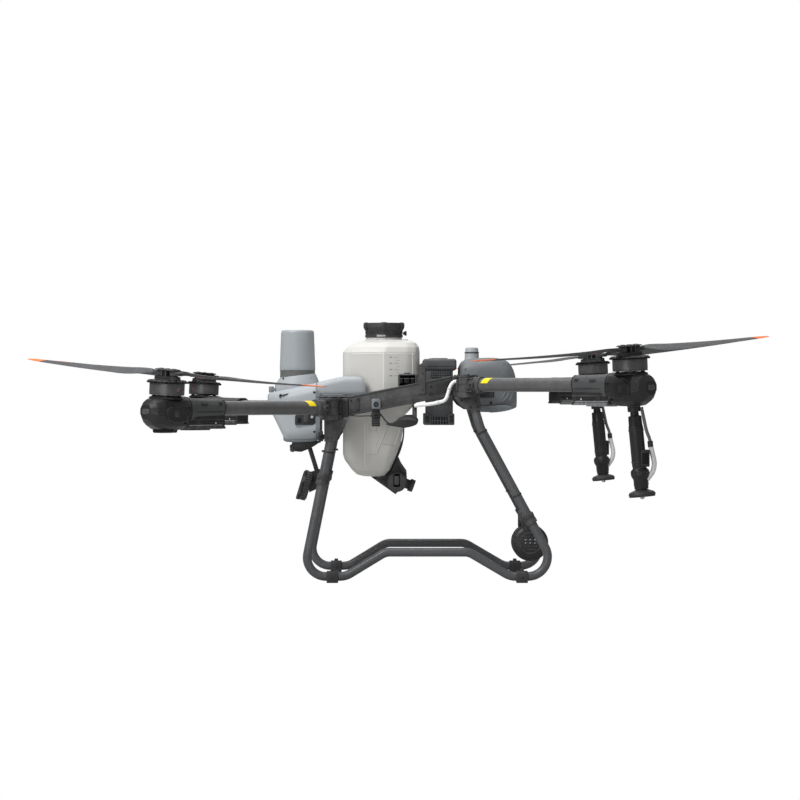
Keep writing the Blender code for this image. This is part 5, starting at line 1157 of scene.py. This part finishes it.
for s in (-1, 1):
    # scale marks, moulded panel lines, and the embossed shapes low on the side; the raised lines are coloured lighter
    # as painted highlights along creases and ridges and darker as painted shade beside them
    for k in range(8):
        long = k % 2 == 0
        z = 0.6220 + 0.0094 * k
        on_side(s, -0.0140 if long else -0.0060, 0.0020, z, z + 0.0012, 0.0004, "tank_mark", 3, 0.001)
        if long:
            on_side(s, -0.0270, -0.0190, z - 0.0010, z + 0.0024, 0.0004, "tank_mark", 3, 0.001)
    line_on(s, (-0.1030, 0.3440), (-0.1030, 0.4750), "tank_painted_highlight", 0.0013, 0.0018)
    line_on(s, (-0.1000, 0.3840), (-0.0660, 0.3840), "tank_painted_shade", 0.0010, 0.0012)
    line_on(s, (-0.1010, 0.3860), (-0.0660, 0.3860), "tank_painted_highlight", 0.0012, 0.0018)
    line_on(s, (-0.0660, 0.3840), (-0.0335, 0.4637), "tank_painted_shade", 0.0010, 0.0012)
    line_on(s, (-0.0676, 0.3860), (-0.0351, 0.4657), "tank_painted_highlight", 0.0012, 0.0018)
    line_on(s, (-0.0335, 0.4637), (-0.0200, 0.4750), "tank_painted_shade", 0.0010, 0.0012)
    line_on(s, (-0.0500, 0.4135), (-0.0122, 0.4096), "tank_painted_shade", 0.0009, 0.0010)
    line_on(s, (-0.0122, 0.4096), (0.0080, 0.4700), "tank_painted_highlight", 0.0012, 0.0016)
    line_on(s, (-0.1600, 0.4900), (0.0080, 0.4900), "tank", 0.0013, 0.0012, 12)
    line_on(s, (-0.1560, 0.6890), (0.0500, 0.6890), "tank_painted_highlight", 0.0012, 0.0008, 12)
    line_on(s, (-0.0430, 0.5600), (-0.0430, 0.6920), "tank_painted_highlight", 0.0014, 0.0012, 10)
    line_on(s, (-0.0450, 0.5600), (-0.0450, 0.6920), "tank_painted_highlight", 0.0014, 0.0010, 10)
    line_on(s, (0.0435, 0.5600), (0.0435, 0.6920), "tank_painted_highlight", 0.0013, 0.0012, 10)
    for a, b in (((-0.0880, 0.4550), (-0.0880, 0.4750)), ((-0.0880, 0.4750), (-0.0660, 0.4750)), ((-0.0660, 0.4750), (-0.0660, 0.4550)), ((-0.0880, 0.4550), (-0.0790, 0.4550)), ((-0.0750, 0.4550), (-0.0660, 0.4550))):
        line_on(s, a, b, "tank_painted_shade", 0.0009, 0.0010, 3)
    for x in (-0.0480,):
        items.append((box(x - 0.010, x + 0.010, *sorted((s * 0.0700, s * 0.0860)), 0.7290, 0.7350, 0.0016), "tank"))
items.append((box(0.0130, 0.0290, -0.0160, 0.0160, 0.7240, 0.7360, 0.0020), "tank"))
piece("tank_skin", items, "tank", ["tank"], angle=30)

# ---- cap ------------------------------------------------------------------------
neck = Matrix.Translation((TANK_X, 0, 0))
items = [(lathe([(0.0545, 0.7420), (0.0582, 0.7420), (0.0584, 0.7428), (0.0584, 0.7492), (0.0566, 0.7502), (0.0562, 0.7530), (0.0566, 0.7610), (0.0590, 0.7650), (0.0608, 0.7668), (0.0615, 0.7690), (0.0622, 0.7705), (0.0635, 0.7720), (0.0635, 0.7855), (0.0628, 0.7865), (0.0552, 0.7865), (0.0545, 0.7858)], 96, neck, ring=True), "cap")]
for k in range(6):
    m = neck @ Matrix.Rotation(math.radians(30 + 60 * k), 4, "Z")
    items.append((box(0.0600, 0.0664, -0.0060, 0.0060, 0.7640, 0.7880, 0.0016, m), "cap"))
    items.append((box(0.0655, 0.0668, -0.0030, 0.0030, 0.7680, 0.7840, 0.0006, m), "trim"))
for k in range(60):
    if k % 10 in (4, 5, 6):
        continue
    m = neck @ Matrix.Rotation(math.radians(6 * k), 4, "Z")
    items.append((box(0.0556, 0.0578, -0.0011, 0.0011, 0.7520, 0.7630, 0.0005, m, 1), "cap"))
m = neck @ Matrix.Rotation(math.radians(-98), 4, "Z")
items.append((box(0.0560, 0.0600, -0.0135, 0.0135, 0.7430, 0.7492, 0.0006, m), "label"))
# small vent knob on the ring's rear side
items.append((rod((0.0140, 0, 0.7547), (0.0195, 0, 0.7547), 0.0046, n=24, soften=0.0006), "cap"))
items.append((rod((0.0185, 0, 0.7547), (0.0255, 0, 0.7547), 0.0072, n=28, soften=0.0012), "cap"))
piece("cap_ring_skin", items, "cap_ring", ["cap_ring"])
items = [(lathe([(0, 0.7460), (0.0465, 0.7460), (0.0470, 0.7466), (0.0470, 0.7684), (0.0530, 0.7688), (0.0536, 0.7694), (0.0536, 0.7752), (0.0528, 0.7764), (0.0500, 0.7785), (0.0470, 0.7790), (0.0200, 0.7808), (0.0110, 0.7811), (0.0100, 0.7822), (0.0094, 0.7880), (0.0086, 0.7893), (0.0070, 0.7895), (0.0050, 0.7880), (0, 0.7880)], 96, neck), "cap")]
for k in range(6):
    m = neck @ Matrix.Rotation(math.radians(60 * k), 4, "Z")
    items.append((box(0.0080, 0.0470, -0.0016, 0.0016, 0.7740, 0.7845, 0.0007, m), "cap"))
    items.append((box(0.0300, 0.0460, -0.0050, 0.0050, 0.7775, 0.7800, 0.0008, m @ Matrix.Rotation(math.radians(30), 4, "Z")), "trim"))
items.append((lathe([(0.0485, 0.7700), (0.0492, 0.7705), (0.0492, 0.7720), (0.0485, 0.7725)], 64, neck, ring=True), "trim"))
piece("cap_lid_skin", items, "cap_lid", ["cap_lid"])

# ---- sump -----------------------------------------------------------------------
SUMP = [(-0.0840, 0.3118), (-0.0470, 0.3118), (-0.0350, 0.3165), (-0.0225, 0.3312), (-0.0085, 0.3645), (-0.0030, 0.3780), (0.0075, 0.3540), (0.0248, 0.3290), (0.0270, 0.2900), (0.0149, 0.2740), (-0.0028, 0.2677), (-0.0087, 0.2578)]
items = [(cad("tank_sump", "cast", 0.0014, 32)[0], "cast")]
for s in (-1, 1):
    items.append((prism([(-0.0700, 0.3060), (-0.0440, 0.3060), (-0.0280, 0.3120), (-0.0160, 0.3240), (-0.0040, 0.3500), (0.0060, 0.3400), (0.0150, 0.3240), (0.0180, 0.3000), (0.0100, 0.2840), (-0.0040, 0.2760), (-0.0120, 0.2700)], "y", *sorted((s * 0.0515, s * 0.0535)), 0.0010), "trim"))
    for p in ((-0.0720, 0.3080), (-0.0380, 0.3110), (-0.0060, 0.3640), (0.0190, 0.3240), (0.0200, 0.2920), (-0.0060, 0.2660), (-0.0380, 0.2870)):
        items.append((bolt((p[0], s * 0.0520, p[1]), (0, s, 0), 0.0032, 0.0024), "dark_bolt"))
for k in range(6):
    z = 0.2760 + 0.0080 * k
    items.append((box(-0.0340 + 0.001 * k, 0.0150, -0.0545, -0.0518, z, z + 0.0020, 0.0006, segments=1), "cast"))
out = Matrix.Translation((0.0230, 0, 0.2900)) @ Matrix.Rotation(math.radians(20), 4, "Y") @ Matrix.Rotation(math.radians(90), 4, "Y")
items.append((lathe([(0.0190, 0.0120), (0.0200, 0.0126), (0.0200, 0.0150), (0.0190, 0.0156)], 40, out, ring=True), "trim"))
items.append((prism([(-0.0160, 0.2800), (-0.0180, 0.2840), (-0.0180, 0.3200), (-0.0150, 0.3240), (0.0040, 0.3240), (0.0070, 0.3200), (0.0070, 0.2840), (0.0050, 0.2800)], "y", -0.0830, -0.0480, 0.0022), "trim"))
items.append((box(-0.0130, 0.0020, -0.0842, -0.0825, 0.2880, 0.3160, 0.0006), "cast"))
items.append((prism([(-0.0450, 0.3180), (-0.0300, 0.3300), (-0.0160, 0.3620), (-0.0040, 0.3850), (0.0060, 0.4200), (0.0115, 0.4200), (0.0020, 0.3830), (-0.0100, 0.3550), (-0.0240, 0.3250), (-0.0400, 0.3120)], "y", -0.0120, 0.0120, 0.0010), "cast"))
items.append((bolt((-0.0216, -0.0530, 0.2990), (0, -1, 0), 0.0030, 0.0020), "screw"))
items.append((bolt((0.0205, -0.0530, 0.2970), (0, -1, 0), 0.0030, 0.0020), "screw"))
piece("tank_sump_skin", items, "tank", ["tank_sump"])

# ---- battery --------------------------------------------------------------------
items = [(box(0.0840, 0.1665, -0.1120, 0.1120, 0.4770, 0.6500, 0.0050, segments=3), "pack"),
         (box(0.0745, 0.1775, -0.1180, 0.1180, 0.6390, 0.6745, 0.0080, segments=4), "pack"),
         (box(0.0770, 0.1710, -0.1160, 0.1160, 0.4720, 0.4985, 0.0030, segments=3), "pack"),
         (prism([(0.0880, 0.6720), (0.0960, 0.6770), (0.1500, 0.6770), (0.1600, 0.6720)], "y", -0.060, 0.060, 0.0014), "pack"),
         (box(0.1040, 0.1480, -0.0440, 0.0440, 0.6762, 0.6778, 0.0006), "trim")]
for s in (-1, 1):
    y = s * 0.1180
    items.append((box(0.0860, 0.1660, *sorted((y - s * 0.0008, y + s * 0.0010)), 0.6510, 0.6530, 0.0007), "trim"))
    # blank grille in small squares under the head
    items.append((box(0.1000, 0.1600, *sorted((s * 0.1110, s * 0.1132)), 0.6150, 0.6385, 0.0010), "trim"))
    for k in range(8):
        for j in range(3):
            x, z = 0.1020 + 0.0071 * k, 0.6168 + 0.0072 * j
            items.append((box(x, x + 0.0050, *sorted((s * 0.1125, s * 0.1142)), z, z + 0.0050, 0.0006, segments=1), "pack"))
    # two posts at the foot with a ladder panel between
    for x0, x1 in ((0.0770, 0.0992), (0.1511, 0.1710)):
        items.append((box(x0, x1, *sorted((s * 0.1100, s * 0.1185)), 0.4730, 0.5070, 0.0026), "pack"))
        items.append((box(x0 + 0.0050, x1 - 0.0050, *sorted((s * 0.1180, s * 0.1190)), 0.4790, 0.5010, 0.0005), "trim"))
    items.append((box(0.1000, 0.1500, *sorted((s * 0.1150, s * 0.1166)), 0.4740, 0.4970, 0.0008), "black"))
    for k in range(6):
        items.append((box(0.1015 + 0.0084 * k, 0.1045 + 0.0084 * k, *sorted((s * 0.1160, s * 0.1178)), 0.4750, 0.4960, 0.0006, segments=1), "pack"))
    items.append((box(0.1000, 0.1500, *sorted((s * 0.1160, s * 0.1176)), 0.4840, 0.4866, 0.0006), "pack"))
    for k in range(5):
        z = 0.5200 + 0.0180 * k
        items.append((box(0.0900, 0.1610, *sorted((s * 0.1112, s * 0.1130)), z, z + 0.0100, 0.0009, segments=1), "pack"))
piece("battery_skin", items, "battery", ["battery"])

# ---- spray hoses and cables on the rear arms --------------------------------------
for code, s in (("rl", -1), ("rr", 1)):
    arm = "arm_" + code
    y = s * MOTOR_Y
    lean = math.sin(math.radians(SPRAY_LEAN))

    def mast(t, dx=0.0, dy=0.0):
        """A point t metres down the sprinkler's mast."""
        return (SPRAY_TOP[0] + lean * t + dx, y + s * dy, SPRAY_TOP[1] - math.cos(math.radians(SPRAY_LEAN)) * t)

    def at(x, z, dy=0.0):
        return (x, y + s * dy, z)

    items = [(lathe([(0.0158, 0.0195), (0.0180, 0.0200), (0.0188, 0.0225), (0.0196, 0.0480), (0.0208, 0.050), (0.0208, 0.160), (0.0200, 0.165), (0.0180, 0.168)], 64, aim(mast(0), Vector(mast(1)) - Vector(mast(0))), ring=True), "pod"),
             (lathe([(0, -0.0075), (0.0180, -0.0075), (0.0186, -0.0060), (0.0186, 0.0060), (0.0176, 0.0075), (0, 0.0075)], 48, aim(mast(0), Vector(mast(1)) - Vector(mast(0)))), "trim"),
             (tube(curve([at(0.6864, 0.5304, 0.012), at(0.6925, 0.5020, 0.012), at(0.7005, 0.4653, 0.012), at(0.7085, 0.4440, 0.011), at(0.7118, 0.4320, 0.010)], 8), 0.0048, 18), "hose_grey"),
             (rod(at(0.7112, 0.4345, 0.010), at(0.7128, 0.4175, 0.010), 0.0078, n=28, soften=0.0010), "trim"),
             (tube(curve([at(0.7130, 0.4190, 0.010), at(0.7180, 0.3980, 0.010), at(0.7232, 0.3720, 0.009), at(0.7190, 0.3480, 0.007), at(0.7040, 0.3260, 0.003)], 8), 0.0072, 20), "hose_clear"),
             (box(0.6835, 0.7090, *sorted((y + s * 0.002, y + s * 0.024)), 0.3617, 0.4101, 0.0028, segments=3), "trim"),
             (box(0.6870, 0.7050, *sorted((y - s * 0.000, y + s * 0.026)), 0.3700, 0.4010, 0.0020), "black")]
    for t in (0.060, 0.150):
        m = aim(mast(t), Vector(mast(1)) - Vector(mast(0)))
        items.append((lathe([(0.0210, -0.0020), (0.0221, -0.0014), (0.0221, 0.0014), (0.0210, 0.0020)], 48, m, ring=True), "trim"))
    piece(f"sprinkler_lines_{code}", items, arm)

# ---- any CAD node that is still shown gets its finish ------------------------------
for name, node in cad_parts.items():
    if not node.hide_render:
        node.data.materials.clear()
        node.data.materials.append(mat("cast"))

# ---- set: pale floor, soft studio light, camera at the photo's angle ----------------
floor_mesh = bpy.data.meshes.new("floor")
bm = bmesh.new()
bmesh.ops.create_grid(bm, x_segments=1, y_segments=1, size=60.0)
bm.to_mesh(floor_mesh)
bm.free()
floor = bpy.data.objects.new("floor", floor_mesh)
floor.location.z = -0.0005
bpy.context.scene.collection.objects.link(floor)
paper = bpy.data.materials.new("studio_floor")
paper.use_nodes = True
nt = paper.node_tree
shader = nt.nodes["Principled BSDF"]
coords = nt.nodes.new("ShaderNodeTexCoord").outputs["Object"]
nt.links.new(mix(nt, ramp(nt, noise(nt, coords, 3.0, 4.0), 0.3, 0.7, 0.0, 1.0), srgb(188, 188, 188), srgb(196, 196, 196)), shader.inputs["Base Color"])
shader.inputs["Roughness"].default_value = 0.9
shader.inputs["Specular IOR Level"].default_value = 0.1
glow = nt.nodes.new("ShaderNodeEmission")
glow.inputs["Color"].default_value = (1, 1, 1, 1)
pick = nt.nodes.new("ShaderNodeMixShader")
nt.links.new(nt.nodes.new("ShaderNodeLightPath").outputs["Is Camera Ray"], pick.inputs[0])
nt.links.new(shader.outputs[0], pick.inputs[1])
nt.links.new(glow.outputs[0], pick.inputs[2])
nt.links.new(pick.outputs[0], nt.nodes["Material Output"].inputs["Surface"])
floor_mesh.materials.append(paper)


def area(name, at, to, size, size_y, power, spread=180):
    light = bpy.data.lights.new(name, "AREA")
    light.shape, light.size, light.size_y, light.energy = "RECTANGLE", size, size_y, power
    o = bpy.data.objects.new(name, light)
    o.location = at
    o.rotation_euler = (Vector(to) - Vector(at)).to_track_quat("-Z", "Y").to_euler()
    bpy.context.scene.collection.objects.link(o)
    return o


area("key", (-3.0, -3.4, 4.2), (0, 0, 0.45), 2.4, 2.0, 205)
area("top", (-0.6, 0.0, 4.4), (0, 0, 0.4), 3.4, 3.4, 125)
area("fill", (3.6, -3.0, 1.6), (0, 0, 0.5), 2.4, 2.4, 6)
area("low", (-1.8, -4.4, 0.35), (0.0, 0, 0.40), 2.4, 1.0, 28)
area("back", (0.0, 4.6, 3.0), (0, 0, 0.6), 4.5, 2.0, 30)

world = bpy.data.worlds.new("studio")
bpy.context.scene.world = world
world.use_nodes = True
nt = world.node_tree
back = nt.nodes["Background"]
back.inputs["Color"].default_value = (1, 1, 1, 1)
ray = nt.nodes.new("ShaderNodeLightPath")
nt.links.new(ramp(nt, ray.outputs["Is Camera Ray"], 0.0, 1.0, 0.28, 1.0), back.inputs["Strength"])
view = bpy.context.scene.view_settings
view.view_transform = "Standard"

lens_data = bpy.data.cameras.new("photo")
lens_data.sensor_width, lens_data.lens = 36.0, 118.4
lens_data.shift_x, lens_data.shift_y = 0.0019, -0.00875
lens_data.clip_end = 100
camera = bpy.data.objects.new("photo", lens_data)
camera.location = (0.0, -8.15, 0.570)
camera.rotation_euler = (math.radians(90), 0, 0)
bpy.context.scene.collection.objects.link(camera)
bpy.context.scene.camera = camera
